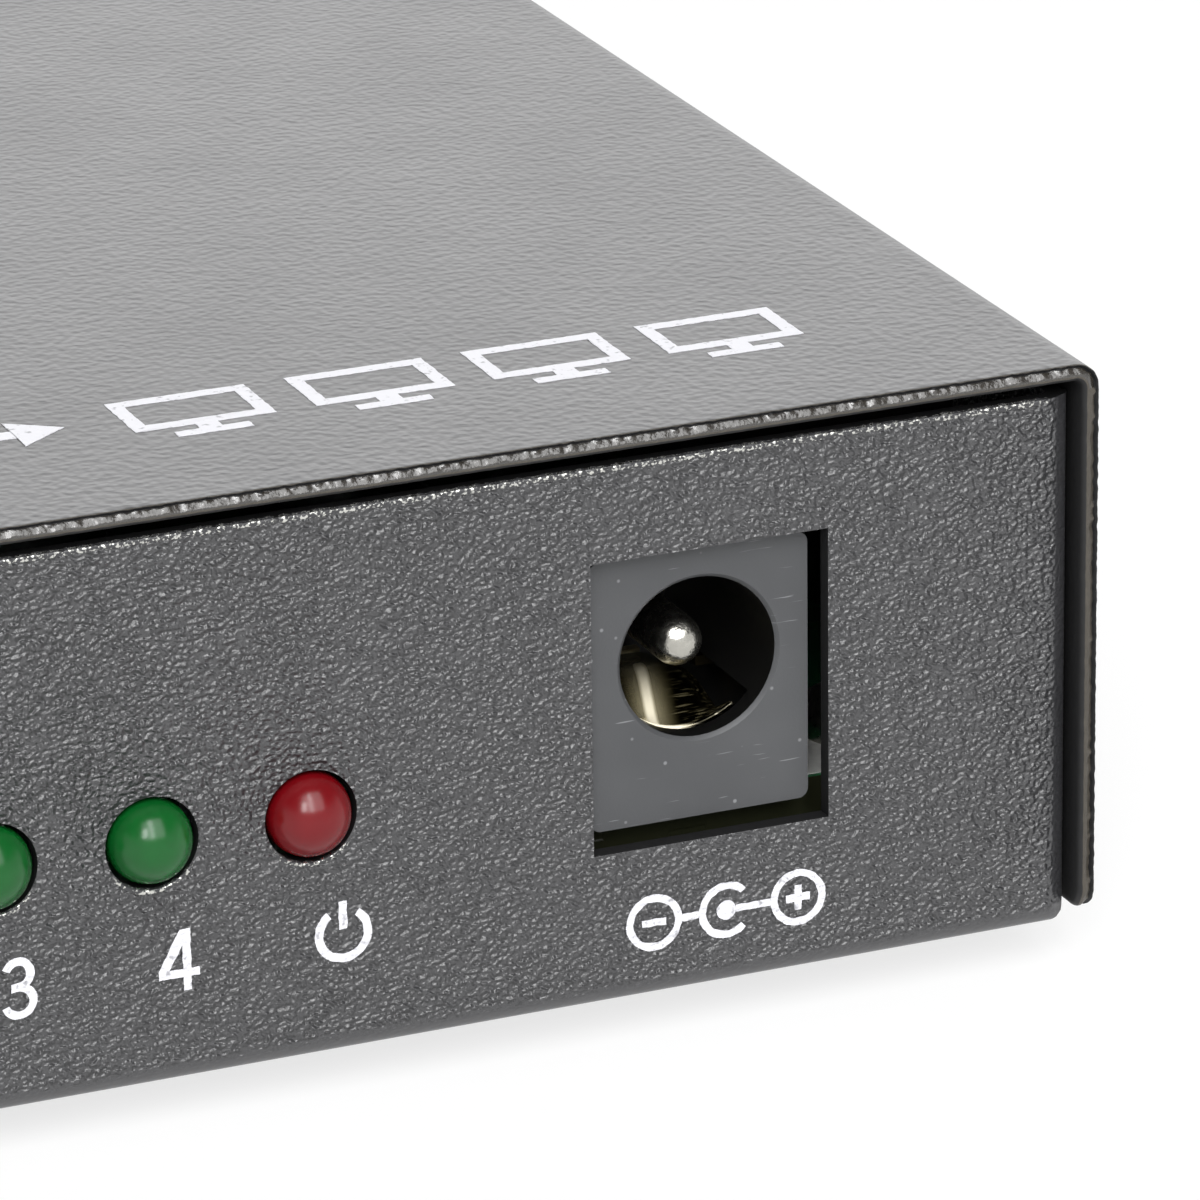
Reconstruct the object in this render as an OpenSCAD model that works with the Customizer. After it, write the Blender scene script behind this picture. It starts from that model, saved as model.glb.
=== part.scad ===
// Video splitter in a folded steel case: one input socket, four output sockets, a DC jack and a
// row of indicator lamps. The front panel faces -Y and the feet stand on Z = 0.

/* [Case] */
// Width over the sides of the cover
case_w = 120; // [116:1:140]
// Depth of the cover from its front edge to its rear edge
case_d = 65; // [63:1:80]
// Height from the underside of the base to the top of the cover
case_h = 23.2; // [22.8:0.1:28]
// Thickness of the steel sheet
sheet_t = 0.7; // [0.6:0.05:0.9]
// Inner radius of every fold in the sheet
fold_r = 0.3; // [0.2:0.05:0.5]
// How far the cover stands out past the front and rear panels
cover_overhang = 0.6; // [0.4:0.1:1.2]
// Gap between the sides of the cover and the chassis
side_gap = 0.2; // [0.1:0.05:0.4]
// Gap between the top of the cover and the upper edges of the panels
top_gap = 0.7; // [0.3:0.1:1]
// Height of the lower edge of the cover above the underside of the base
skirt_lift = 0.65; // [0.4:0.05:0.9]
// Corner radius at the lower ends of the cover's sides
skirt_corner_r = 1; // [0.5:0.1:2]

/* [Panel ears] */
// Depth of the ears folded back at the ends of both panels
ear_d = 9; // [8:0.5:12]
// Corner radius at the free ends of the ears
ear_corner_r = 1.5; // [0.5:0.1:2.5]
// Width and height of the bevel at the lower corners of the panels
corner_bevel = [0.5, 1];
// Wall of the drawn collar around each tapped hole
collar_wall = 0.8; // [0.5:0.1:1.2]
// Depth of the drawn collar behind the ear
collar_len = 1; // [0.6:0.1:1.5]

/* [Screws] */
// Thread diameter of the cover and board screws
screw_d = 3; // [2.5:0.1:3.2]
// Diameter of the pan heads
head_d = 5.4; // [5:0.1:6]
// Height of the pan heads
head_h = 1.3; // [1:0.1:1.8]
// Rounding of the heads' outer edge
head_edge_r = 0.7; // [0.3:0.1:0.9]
// Length of the screws under the head
screw_len = 5; // [4:0.5:5.5]
// Distance of the cover screws behind the face of their panel
screw_setback = 5; // [4.6:0.1:6]
// Height of the cover screws above the underside of the base
screw_lift = 12.5; // [11.5:0.5:15]
// Gap between a screw and the plain hole that it passes
hole_gap = 0.2; // [0.1:0.05:0.4]
// Gap between a screw's thread and the tapped hole that holds it
thread_gap = 0.03; // [0.02:0.01:0.06]
// Length of the arms of the cross recess
recess_len = 2.8; // [2:0.1:3.4]
// Width of the arms of the cross recess
recess_w = 0.8; // [0.5:0.1:1]
// Depth of the cross recess
recess_depth = 0.8; // [0.5:0.1:0.9]

/* [Feet] */
// Height of the rubber feet
foot_h = 1.8; // [1.2:0.1:3]
// Diameter of the feet where they are stuck on
foot_d = 8; // [6:0.5:10]
// How far the feet draw in towards the floor, on the radius
foot_draft = 0.3; // [0.1:0.1:0.6]
// Bevel round the lower edge of the feet
foot_bevel = 0.4; // [0.2:0.1:0.8]
// Distance of the feet from the sides of the base, to their centres
foot_from_side = 14; // [12:0.5:20]
// Distance of the feet from the panel faces, to their centres
foot_from_panel = 12; // [11:0.5:16]

/* [Circuit board] */
// Thickness of the board
board_t = 1.6; // [1.2:0.1:2]
// Height of the standoffs between the base and the board
standoff_h = 4.6; // [4:0.1:6]
// Diameter of the standoffs
standoff_d = 5.5; // [5:0.1:6.5]
// Diameter of the spigots pressed into the base
spigot_d = 4.4; // [4:0.1:4.8]
// Gap of each pressed fit, on the radius
press_gap = 0.02; // [0.01:0.01:0.05]
// Distance of the board's ends from the ends of the panels
board_from_side = 1.6; // [1.2:0.1:3]
// Distance of the board's long edges from the faces of the panels
board_setback = 2.65; // [2.2:0.05:3.2]
// Corner radius of the board
board_corner_r = 1; // [0.5:0.1:2]
// Distance of the fixing holes from the board's edges
fixing_inset = 4; // [3.6:0.1:6]
// How far leads and legs stand out below the board
tail_len = 1.2; // [0.8:0.1:2]
// Gap between leads or legs and their holes in the board
lead_gap = 0.1; // [0.05:0.05:0.2]

/* [Indicator lamps] */
// Diameter of the lenses
lens_d = 3.3; // [3:0.1:3.6]
// Gap between a lens and its hole in the panel
lens_gap = 0.18; // [0.1:0.02:0.3]
// How far the base of the dome lies behind the panel face
dome_setback = 0.4; // [0.2:0.1:0.8]
// Length of the straight part of the lens
lens_len = 3; // [2.5:0.1:4]
// Diameter of the rim at the back of the lens
rim_d = 3.9; // [3.7:0.1:4.4]
// Thickness of the rim
rim_t = 1; // [0.6:0.1:1.4]
// Height of the lamps' axis above the board
lamp_h = 2.97; // [2.4:0.01:3.6]
// Distance of the power lamp from the right-hand end of the panel
power_from_end = 31.26; // [29:0.1:36]
// Spacing of the lamps
lamp_pitch = 6.27; // [5:0.01:7]
// Side of the square leads
lead_w = 0.5; // [0.4:0.05:0.6]
// Spacing of the two leads of a lamp
lead_pitch = 2.54; // [1.8:0.01:2.6]
// How far the leads run back before they turn down
lead_run = 1.8; // [1.2:0.1:3]
// How far the leads reach into the lens
lead_grip = 0.8; // [0.4:0.1:1.5]

/* [DC jack] */
// Distance of the jack's axis from the right-hand end of the panel
jack_from_end = 15.18; // [13:0.1:18]
// How far the jack's face lies behind the panel face
jack_recess = 0.8; // [0.7:0.05:1.5]
// Width of the jack's front block
jack_w = 9; // [8.6:0.1:9.6]
// Height of the jack's front block
jack_h = 10.8; // [10.2:0.1:11.4]
// Depth of the jack's front block
jack_block_d = 3.4; // [2.5:0.1:4.5]
// Length of the whole jack
jack_len = 14; // [13:0.1:16]
// Corner radius of the front block
jack_corner_r = 0.4; // [0.2:0.1:0.8]
// Height of the jack's axis above the board
jack_axis_h = 6.4; // [6.2:0.1:6.8]
// Diameter of the barrel behind the front block
barrel_d = 8.2; // [7.8:0.1:8.6]
// Diameter of the plug's bore
bore_d = 6.4; // [6.2:0.1:6.5]
// Depth of the plug's bore
bore_depth = 10; // [9.6:0.1:11]
// Bevel round the mouth of the bore
mouth_bevel = 0.15; // [0.1:0.05:0.3]
// Thickness of the wall behind the bore
rear_wall = 1.6; // [1:0.1:2]
// Diameter of the centre pin
pin_d = 2; // [1.8:0.1:2.5]
// How far the tip of the pin lies behind the jack's face
pin_setback = 1.25; // [1:0.05:3]
// Rounding of the edge of the pin's flat tip
pin_edge_r = 0.45; // [0.2:0.05:0.8]
// Diameter of the pin's riveted end
rivet_d = 1.6; // [1.2:0.1:1.7]
// Thickness of the terminals
terminal_t = 0.4; // [0.3:0.05:0.5]
// Width of the terminals
terminal_w = 3; // [2:0.1:3.4]
// Gap between the terminals and their slots
terminal_gap = 0.05; // [0.03:0.01:0.1]
// Gap at the left and the right of the jack in its cut-out, at the left first
jack_side_gaps = [0.23, 0.5];
// Gap below and above the jack in its cut-out, below first
jack_end_gaps = [0.62, 0.3];

/* [Spring contact] */
// Thickness of the contact leaf
leaf_t = 0.25; // [0.2:0.01:0.3]
// Width of the contact leaf
leaf_w = 4; // [3.6:0.1:4.2]
// How far the free end of the leaf lies behind the jack's face
leaf_front = 1.4; // [1.2:0.1:2]
// Where the leaf comes closest to the axis, behind the jack's face
leaf_crest = 5.4; // [4.6:0.1:6]
// Where the leaf ends, behind the jack's face
leaf_root = 8.9; // [8.5:0.1:9]
// Distance of the leaf's middle from the axis at its free end
leaf_mouth_r = 3.25; // [3.1:0.05:3.3]
// Distance of the leaf's middle from the axis at its crest
leaf_crest_r = 2.45; // [2.3:0.05:2.6]
// Distance of the leaf's middle from the axis at its root
leaf_root_r = 3; // [2.9:0.05:3.1]
// How far the corners of the dished free end stand above its middle
lip_dish = 0.7; // [0.4:0.05:0.8]
// Length over which the dish runs out
lip_len = 1.6; // [1:0.1:2.5]
// How far the long edges are rolled down behind the dish
edge_roll = 0.35; // [0.2:0.05:0.5]
// Width of the rolled edges
roll_w = 0.9; // [0.5:0.1:1.4]
// Arc of the channel that the leaf moves in, in degrees
channel_arc = 100; // [98:1:110]
// Radius of the floor of that channel
channel_r = 4.7; // [4.6:0.05:5.2]
// How far the channel starts behind the jack's face
channel_front = 1; // [0.8:0.05:1.1]
// Gap between the leaf and its terminal
leaf_gap = 0.3; // [0.2:0.05:0.5]
// Depth and height of the switch contact's nose, which lies beside the leaf's edge
nose_size = [1.6, 0.4];
// Distance of the nose from the leaf's root, then sideways from the axis, then below the axis
nose_place = [1.1, 2.55, 2.5];

/* [Video sockets] */
// Distance of the input socket from the left-hand end of the front panel
input_from_end = 34; // [24:1:40]
// Spacing of the output sockets
output_pitch = 26; // [22:0.5:27]
// Width of a socket's opening
open_w = 14; // [13.9:0.05:14.2]
// Height of a socket's opening
open_h = 4.55; // [4.5:0.05:4.7]
// Bevel of the two lower corners of the opening
open_bevel = 1.8; // [1.4:0.1:2.2]
// Thickness of the shells
shell_t = 0.35; // [0.3:0.05:0.4]
// Length of the shells
shell_len = 12; // [11:0.1:14]
// Gap between the shells and the board
shell_lift = 0.25; // [0.1:0.05:0.4]
// How far the shells stand out of the panels
shell_stand_out = 0.4; // [0.2:0.05:0.6]
// Width of the turned-out lip at the mouth of a shell
lip_w = 0.3; // [0.2:0.05:0.5]
// Thickness of that lip
lip_t = 0.4; // [0.3:0.05:0.6]
// Gap between a shell's lip and its cut-out
cutout_gap = 0.3; // [0.2:0.05:0.5]
// Width of the spring fingers cut into the shells
finger_w = 1.8; // [1.4:0.1:2.4]
// Length of those fingers
finger_len = 4.5; // [3.5:0.1:5]
// Spacing of the two fingers
finger_pitch = 6.4; // [5:0.1:7.4]
// Width of the slots round the fingers
finger_slot = 0.4; // [0.3:0.05:0.5]
// Distance of the fingers from the mouth
finger_from_mouth = 1.6; // [1.2:0.1:2.4]
// Width of the four legs of a shell
leg_w = 1.4; // [1:0.1:2]
// Distance of the front and rear legs from the mouth
leg_from_mouth = [5.4, 10.6];
// Width of the tongue
tongue_w = 11.2; // [10.8:0.1:11.6]
// Thickness of the tongue
tongue_t = 1.9; // [1.6:0.1:2.2]
// How far the tongue lies behind the mouth
tongue_setback = 0.8; // [0.5:0.1:1.5]
// Distance of the block that carries the tongue from the mouth
tongue_root = 8; // [7.4:0.1:9]
// Gap between the insert and its shell
insert_gap = 0.03; // [0.02:0.01:0.06]
// Contacts on the upper side of the tongue, with one fewer below
contact_count = 10; // [6:1:10]
// Spacing of the contacts on one side
contact_pitch = 1; // [0.9:0.05:1]
// Width of a contact
contact_w = 0.3; // [0.25:0.01:0.35]
// Thickness of a contact
contact_t = 0.2; // [0.15:0.01:0.25]
// How far the contacts stand proud of the tongue
contact_proud = 0.05; // [0.02:0.01:0.1]
// Distance of the contacts' tips from the tip of the tongue
contact_from_tip = 0.6; // [0.4:0.1:1]
// Gap between the contacts and their grooves
groove_gap = 0.03; // [0.02:0.01:0.05]
// Length of the contacts' soldered feet
contact_foot = 1.2; // [0.8:0.1:1.6]

/* [Board components] */
// Side of the splitter chip's body
chip_side = 14; // [12:1:20]
// Height of the splitter chip's body
chip_h = 1.4; // [1:0.1:2]
// Leads on each side of the splitter chip
chip_leads = 24; // [12:1:25]
// Spacing of the splitter chip's leads
chip_lead_pitch = 0.5; // [0.4:0.05:0.5]
// Width and depth of the control chip's body
control_size = [4.9, 3.9];
// Height of the control chip's body
control_h = 1.4; // [1:0.1:2]
// Leads on each long side of the control chip
control_leads = 4; // [2:1:4]
// Spacing of the control chip's leads
control_lead_pitch = 1.27; // [0.9:0.01:1.27]
// Gap between a chip's body and the board
chip_lift = 0.1; // [0.05:0.05:0.2]
// Thickness of the chips' leads
chip_lead_t = 0.15; // [0.1:0.01:0.2]
// How far the chips' leads reach out of the body
chip_lead_reach = 1; // [0.8:0.1:1.4]
// Length, width and height of the crystal's can
crystal_size = [10.2, 3.7, 3.4];
// Width and thickness of the flange round the crystal's can
crystal_flange = [0.5, 0.5];
// Width, depth and height of the regulator's body
regulator_size = [6.5, 3.5, 1.6];
// Width of the regulator's tab
regulator_tab_w = 3; // [2.6:0.1:3.4]
// Spacing of the regulator's three leads
regulator_lead_pitch = 2.3; // [1.8:0.1:2.4]
// Width of one of the regulator's leads
regulator_lead_w = 0.7; // [0.5:0.1:0.9]
// Side of the inductor
inductor_side = 6; // [5:0.5:8]
// Height of the inductor
inductor_h = 3; // [2:0.1:4.5]
// Diameter of the winding's round top in the inductor
inductor_core_d = 4.6; // [3.5:0.1:4.8]
// Diameter of the capacitors' cans
can_d = 6.3; // [5:0.1:8]
// Height of the capacitors above the board
can_h = 7.4; // [5:0.1:8]
// Side and thickness of the capacitors' bases
can_base = [6.6, 1.1];
// Rounding at the top of the cans
can_edge_r = 0.5; // [0.3:0.1:1]
// Length, width and height of the small capacitors
chip_cap_size = [1.6, 0.8, 0.8];
// Small capacitors along each side of the splitter chip
chip_caps = 4; // [2:1:5]
// Spacing of the small capacitors
chip_cap_pitch = 3; // [2.4:0.1:3.4]
// Gap between the splitter chip's leads and the small capacitors
chip_cap_gap = 1; // [0.6:0.1:1.4]
// How far behind the middle of the board the splitter chip sits
chip_setback = 1; // [-1:0.5:2]
// Distance from the board's left-hand end, and behind its middle, of the control chip and the crystal
control_place = [27.5, -3];
crystal_place = [27.5, 8];
// Distance from the board's right-hand end, and behind its middle, of the regulator, inductor and cans
regulator_place = [13.5, -6];
inductor_place = [27.5, -8];
can_places = [[27.5, 6], [13.5, 6]];

/* [Hidden] */
$fn = 48;
// Overlap of cutting tools past the faces that they cut
cut = 0.1;
outputs = 4;

fold_out = fold_r + sheet_t;
chassis_w = case_w - 2 * (sheet_t + side_gap);
chassis_d = case_d - 2 * cover_overhang;
panel_h = case_h - sheet_t - top_gap;
panel_end = chassis_w / 2;
front_y = -chassis_d / 2;
base_z = foot_h;
board_under = base_z + sheet_t + standoff_h;
board_top = board_under + board_t;
board_w = chassis_w - 2 * board_from_side;
board_d = chassis_d - 2 * board_setback;
board_end = board_w / 2;
chip_at = [0, chip_setback];
control_at = [control_place[0] - board_end, control_place[1]];
crystal_at = [crystal_place[0] - board_end, crystal_place[1]];
regulator_at = [board_end - regulator_place[0], regulator_place[1]];
inductor_at = [board_end - inductor_place[0], inductor_place[1]];
can_at = [for (place = can_places) [board_end - place[0], place[1]]];
tail_bottom = -board_t - tail_len;
fixing_x = board_w / 2 - fixing_inset;
fixing_y = board_d / 2 - fixing_inset;
screw_y = chassis_d / 2 - screw_setback;
screw_z = base_z + screw_lift;
ear_bottom = base_z + sheet_t + fold_r / 2;
ear_inner = panel_end - sheet_t;
tapped_d = screw_d + 2 * thread_gap;
plain_d = screw_d + 2 * hole_gap;

power_x = panel_end - power_from_end;
lamp_z = board_top + lamp_h;
lens_hole_d = lens_d + 2 * lens_gap;
lens_back = dome_setback + lens_len + rim_t;
lead_turn = lens_back + lead_run;

jack_x = panel_end - jack_from_end;
jack_y = front_y + jack_recess;
jack_z = board_top + jack_axis_h;
pin_terminal_y = bore_depth + rear_wall;
leaf_terminal_y = leaf_root + leaf_gap;
terminal_bottom = -jack_axis_h - board_t - tail_len;
leaf_steps = [10, 16];
nose_back = leaf_root - nose_place[0];
nose_y = [nose_back - nose_size[0], nose_back];
nose_z = [-nose_place[2] - nose_size[1], -nose_place[2]];
nose_x = nose_place[1];
switch_x = barrel_d / 2 + terminal_gap;

input_x = input_from_end - panel_end;
socket_y = chassis_d / 2 + shell_stand_out;
open_z = shell_lift + shell_t;
open_top = open_z + open_h;
tongue_z = open_z + open_h / 2;
mouth_grow = shell_t + lip_w;

function output_x(n) = (n - (outputs + 1) / 2) * -output_pitch;
function lamp_x(n) = power_x - (outputs + 1 - n) * lamp_pitch;
function ease(a, b, t) = a + (b - a) * (1 - cos(180 * t)) / 2;
// Distance of the contact leaf's middle from the axis, at a depth behind the jack's face
function leaf_r(y) =
    y < leaf_crest
        ? ease(leaf_mouth_r, leaf_crest_r, (y - leaf_front) / (leaf_crest - leaf_front))
        : ease(leaf_crest_r, leaf_root_r, (y - leaf_crest) / (leaf_root - leaf_crest));

// Height of the contact leaf's upper face over the axis, at a place across it and a depth
function leaf_z(x, y) =
    let (
        dish = y < leaf_front + lip_len ? ease(1, 0, (y - leaf_front) / lip_len) : 0,
        roll = max(0, 1 - (leaf_w / 2 - abs(x)) / roll_w)
    )
    dish * lip_dish * pow(2 * x / leaf_w, 2) - (1 - dish) * edge_roll * pow(roll, 2) - leaf_r(y);

// Shared forms

// Box between two planes on each axis
module block(x, y, z) {
    translate([x[0], y[0], z[0]]) cube([x[1] - x[0], y[1] - y[0], z[1] - z[0]]);
}

// A drawing in the YZ plane, extruded along X about the middle
module along_x(len) {
    rotate([90, 0, 90]) linear_extrude(len, center = true) children();
}

// A drawing in the XZ plane, extruded from Y = 0 along +Y
module along_y(len) {
    translate([0, len, 0]) rotate([90, 0, 0]) linear_extrude(len) children();
}

// Round bar or hole along +Y from Y = 0
module bar_y(d, len) {
    rotate([-90, 0, 0]) cylinder(d = d, h = len);
}

// Rectangle about the origin with round corners
module rounded(w, h, r) {
    square([w - 2 * r, h], center = true);
    square([w, h - 2 * r], center = true);
    for (x = [-1, 1], y = [-1, 1]) {
        translate([x * (w / 2 - r), y * (h / 2 - r)]) circle(r);
    }
}

// Rectangle on the X axis with its two lower corners rounded
module cradle(w, h, r) {
    translate([-w / 2, r]) square([w, h - r]);
    translate([r - w / 2, 0]) square([w - 2 * r, h]);
    for (side = [-1, 1]) {
        translate([side * (w / 2 - r), r]) circle(r);
    }
}

// Section of a sheet folded up at both sides
module folded(w, h) {
    difference() {
        cradle(w, h, fold_out);
        translate([0, sheet_t]) cradle(w - 2 * sheet_t, h, fold_r);
    }
}

// The four screws of the cover, as places with +Z pointing out of the case
module at_cover_screws() {
    for (x = [-1, 1], y = [-1, 1]) {
        translate([x * case_w / 2, y * screw_y, screw_z]) rotate([0, x * 90, 0]) children();
    }
}

// The four fixing holes of the board, as places on the board's upper face
module at_fixings() {
    for (x = [-1, 1], y = [-1, 1]) {
        translate([x * fixing_x, y * fixing_y, board_top]) children();
    }
}

module at_jack() {
    translate([jack_x, jack_y, jack_z]) children();
}

module at_input() {
    translate([input_x, -socket_y, board_top]) children();
}

module at_output(n) {
    translate([output_x(n), socket_y, board_top]) rotate(180) children();
}

module at_lamps() {
    for (n = [1:outputs + 1]) {
        translate([lamp_x(n), front_y, lamp_z]) children();
    }
}

// Case

module cover_sheet() {
    h = case_h - skirt_lift;
    intersection() {
        translate([0, -case_d / 2, base_z + case_h]) mirror([0, 0, 1]) along_y(case_d) folded(case_w, h);
        translate([0, 0, base_z + skirt_lift]) along_x(case_w) cradle(case_d, h, skirt_corner_r);
    }
}

module top_cover() {
    color("#5a5a5b") difference() {
        cover_sheet();
        at_cover_screws() translate([0, 0, -sheet_t - cut]) cylinder(d = plain_d, h = sheet_t + 2 * cut);
    }
}

// The corner fold and the ear at the right-hand end of the front panel
module ear() {
    ear_h = base_z + panel_h - ear_bottom;
    translate([0, front_y, ear_bottom]) intersection() {
        linear_extrude(ear_h) folded(chassis_w, ear_d);
        block([panel_end - fold_out, panel_end], [0, ear_d], [0, ear_h]);
        along_x(case_w) translate([0, ear_h / 2]) rounded(2 * ear_d, ear_h, ear_corner_r);
    }
    translate([ear_inner - collar_len, -screw_y, screw_z])
        rotate([0, 90, 0]) cylinder(d = tapped_d + 2 * collar_wall, h = collar_len);
}

module chassis_sheet() {
    translate([0, 0, base_z]) along_x(chassis_w - 2 * fold_out) folded(chassis_d, panel_h);
    translate([0, 0, base_z]) intersection() {
        along_x(chassis_w) folded(chassis_d, panel_h);
        linear_extrude(fold_out) rounded(chassis_w, chassis_d, fold_out);
    }
    for (x = [0, 1], y = [0, 1]) {
        mirror([x, 0, 0]) mirror([0, y, 0]) ear();
    }
}

// Wedge that bevels the lower corner at the right-hand end of the front panel
module corner_cut() {
    w = corner_bevel[0];
    h = corner_bevel[1];
    translate([panel_end, front_y - cut, base_z]) along_y(fold_out + cut)
        polygon([[-w, -cut], [-w, 0], [0, h], [cut, h], [cut, -cut]]);
}

// Cut-out for a socket, through the panel that the socket looks out of
module socket_cutout() {
    x = open_w / 2 + mouth_grow + cutout_gap;
    z = mouth_grow + cutout_gap;
    block([-x, x], [-cut, shell_stand_out + sheet_t + cut], [open_z - z, open_top + z]);
}

module jack_cutout() {
    x = jack_w / 2;
    block(
        [-x - jack_side_gaps[0], x + jack_side_gaps[1]],
        [-jack_recess - cut, sheet_t - jack_recess + cut],
        [-jack_axis_h - jack_end_gaps[0], jack_h - jack_axis_h + jack_end_gaps[1]]
    );
}

module base_chassis() {
    color("#555556") difference() {
        chassis_sheet();
        for (x = [0, 1], y = [0, 1]) {
            mirror([x, 0, 0]) mirror([0, y, 0]) corner_cut();
        }
        at_cover_screws() translate([0, 0, -screw_len]) cylinder(d = tapped_d, h = screw_len);
        at_lamps() translate([0, -cut, 0]) bar_y(lens_hole_d, sheet_t + 2 * cut);
        at_jack() jack_cutout();
        at_input() socket_cutout();
        for (n = [1:outputs]) {
            at_output(n) socket_cutout();
        }
        at_fixings() translate([0, 0, base_z - board_top - cut])
            cylinder(d = spigot_d + 2 * press_gap, h = sheet_t + 2 * cut);
    }
}

// Pan-head screw with its head on Z = 0 and its shank below
module screw() {
    difference() {
        union() {
            rotate_extrude() intersection() {
                rounded(head_d, 2 * head_h, head_edge_r);
                square([head_d / 2, head_h]);
            }
            translate([0, 0, -screw_len]) cylinder(d = screw_d, h = screw_len);
        }
        for (turn = [0, 90]) {
            translate([0, 0, head_h]) rotate(turn)
                cube([recess_len, recess_w, 2 * recess_depth], center = true);
        }
    }
}

module cover_screws() {
    color("#2b2b2c") at_cover_screws() screw();
}

module rubber_foot(n) {
    r = foot_d / 2;
    x = panel_end - foot_from_side;
    y = chassis_d / 2 - foot_from_panel;
    color("#1c1c1c") translate([n % 2 == 0 ? x : -x, n > 2 ? y : -y, 0]) rotate_extrude() polygon([
        [0, 0],
        [r - foot_draft - foot_bevel, 0],
        [r - foot_draft, foot_bevel],
        [r, foot_h],
        [0, foot_h]
    ]);
}

// Circuit board and its fixings

module board_standoffs() {
    color("#c8c4b8") at_fixings() difference() {
        union() {
            translate([0, 0, -board_t - standoff_h]) cylinder(d = standoff_d, h = standoff_h);
            translate([0, 0, base_z - board_top]) cylinder(d = spigot_d, h = sheet_t + cut);
        }
        translate([0, 0, base_z - board_top - cut]) cylinder(d = tapped_d, h = board_top);
    }
}

module board_screws() {
    color("#c0c0c0") at_fixings() screw();
}

// Slots for the four legs of a socket
module leg_slots() {
    for (side = [-1, 1], y = leg_from_mouth) {
        translate([side * (open_w + shell_t) / 2, y, -board_t / 2])
            cube([shell_t + 2 * lead_gap, leg_w + 2 * lead_gap, board_t + 2 * cut], center = true);
    }
}

// Slots for the jack's three terminals, drawn from the jack's axis
module terminal_slots() {
    x = terminal_w / 2 + lead_gap;
    z = [-jack_axis_h - board_t - cut, cut - jack_axis_h];
    around = [-lead_gap, lead_gap];
    for (y = [leaf_terminal_y, pin_terminal_y]) {
        block([-x, x], [y, y + terminal_t] + around, z);
    }
    block([switch_x, switch_x + terminal_t] + around, nose_y + around, z);
}

module lead_holes() {
    side = lead_w + 2 * lead_gap;
    for (x = [-1, 1]) {
        translate([x * lead_pitch / 2, lead_turn - lead_w / 2, -lamp_h - board_t / 2])
            cube([side, side, board_t + 2 * cut], center = true);
    }
}

module main_board() {
    color("#1d5c3a") difference() {
        translate([0, 0, board_under]) linear_extrude(board_t) rounded(board_w, board_d, board_corner_r);
        at_fixings() translate([0, 0, -board_t - cut]) cylinder(d = plain_d, h = board_t + 2 * cut);
        at_lamps() lead_holes();
        at_jack() terminal_slots();
        at_input() leg_slots();
        for (n = [1:outputs]) {
            at_output(n) leg_slots();
        }
    }
}

// Video sockets, drawn with the mouth at Y = 0 and the board at Z = 0

// Outline of a socket's opening, grown by a margin
module opening(grow) {
    x = open_w / 2 + grow;
    bevel = open_bevel + (2 - sqrt(2)) * grow;
    translate([0, open_z]) polygon([
        [-x, open_h + grow],
        [x, open_h + grow],
        [x, bevel - grow],
        [x - bevel, -grow],
        [bevel - x, -grow],
        [-x, bevel - grow]
    ]);
}

// Slot on three sides of a spring finger, whose root is at the back
module finger_cut(z) {
    x = finger_w / 2;
    difference() {
        block([-x - finger_slot, x + finger_slot], [-finger_slot, finger_len], z);
        block([-x, x], [0, finger_len + cut], [z[0] - cut, z[1] + cut]);
    }
}

module socket_shell() {
    difference() {
        union() {
            along_y(shell_len) opening(shell_t);
            along_y(lip_t) opening(mouth_grow);
            for (side = [-1, 1], y = leg_from_mouth) {
                x = side * (open_w + shell_t) / 2;
                block(
                    [x - shell_t / 2, x + shell_t / 2],
                    [y - leg_w / 2, y + leg_w / 2],
                    [tail_bottom, open_z + open_bevel]
                );
            }
        }
        translate([0, -cut, 0]) along_y(shell_len + 2 * cut) opening(0);
        for (x = [-1, 1]) {
            translate([x * finger_pitch / 2, finger_from_mouth + finger_slot, 0]) {
                finger_cut([open_top - cut, open_top + shell_t + cut]);
                finger_cut([shell_lift - cut, open_z + cut]);
            }
        }
    }
}

// One contact: along the tongue, down behind the insert and out to a soldered foot
module contact(z) {
    tip = tongue_setback + contact_from_tip;
    back = shell_len + contact_t;
    foot_end = back + contact_foot;
    rotate([90, 0, 90]) linear_extrude(contact_w, center = true) polygon([
        [tip, z],
        [tip, z + contact_t],
        [back, z + contact_t],
        [back, contact_t],
        [foot_end, contact_t],
        [foot_end, 0],
        [shell_len, 0],
        [shell_len, z]
    ]);
}

// Places a child at each contact of the upper and the lower row, told the height of its underside
module at_contacts() {
    for (row = [0, 1]) {
        $contact_z = row == 0
            ? tongue_z + tongue_t / 2 - contact_t + contact_proud
            : tongue_z - tongue_t / 2 - contact_proud;
        count = contact_count - row;
        for (n = [0:count - 1]) {
            translate([(n - (count - 1) / 2) * contact_pitch, 0, 0]) children();
        }
    }
}

module socket_contacts() {
    at_contacts() contact($contact_z);
}

module socket_insert() {
    x = contact_w / 2 + groove_gap;
    tip = tongue_setback + contact_from_tip - groove_gap;
    difference() {
        union() {
            translate([0, tongue_root, 0]) along_y(shell_len - tongue_root) opening(-insert_gap);
            block(
                [-tongue_w / 2, tongue_w / 2],
                [tongue_setback, tongue_root + cut],
                [tongue_z - tongue_t / 2, tongue_z + tongue_t / 2]
            );
        }
        at_contacts() block(
            [-x, x],
            [tip, shell_len + cut],
            [$contact_z - groove_gap, $contact_z + contact_t + groove_gap]
        );
    }
}

module input_shell() {
    color("#c9c9c6") at_input() socket_shell();
}

module input_insert() {
    color("#161616") at_input() socket_insert();
}

module input_contacts() {
    color("#c9a24a") at_input() socket_contacts();
}

module output_shell(n) {
    color("#c9c9c6") at_output(n) socket_shell();
}

module output_insert(n) {
    color("#161616") at_output(n) socket_insert();
}

module output_contacts(n) {
    color("#c9a24a") at_output(n) socket_contacts();
}

// DC jack, drawn about the axis of its bore with the face at Y = 0

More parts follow.
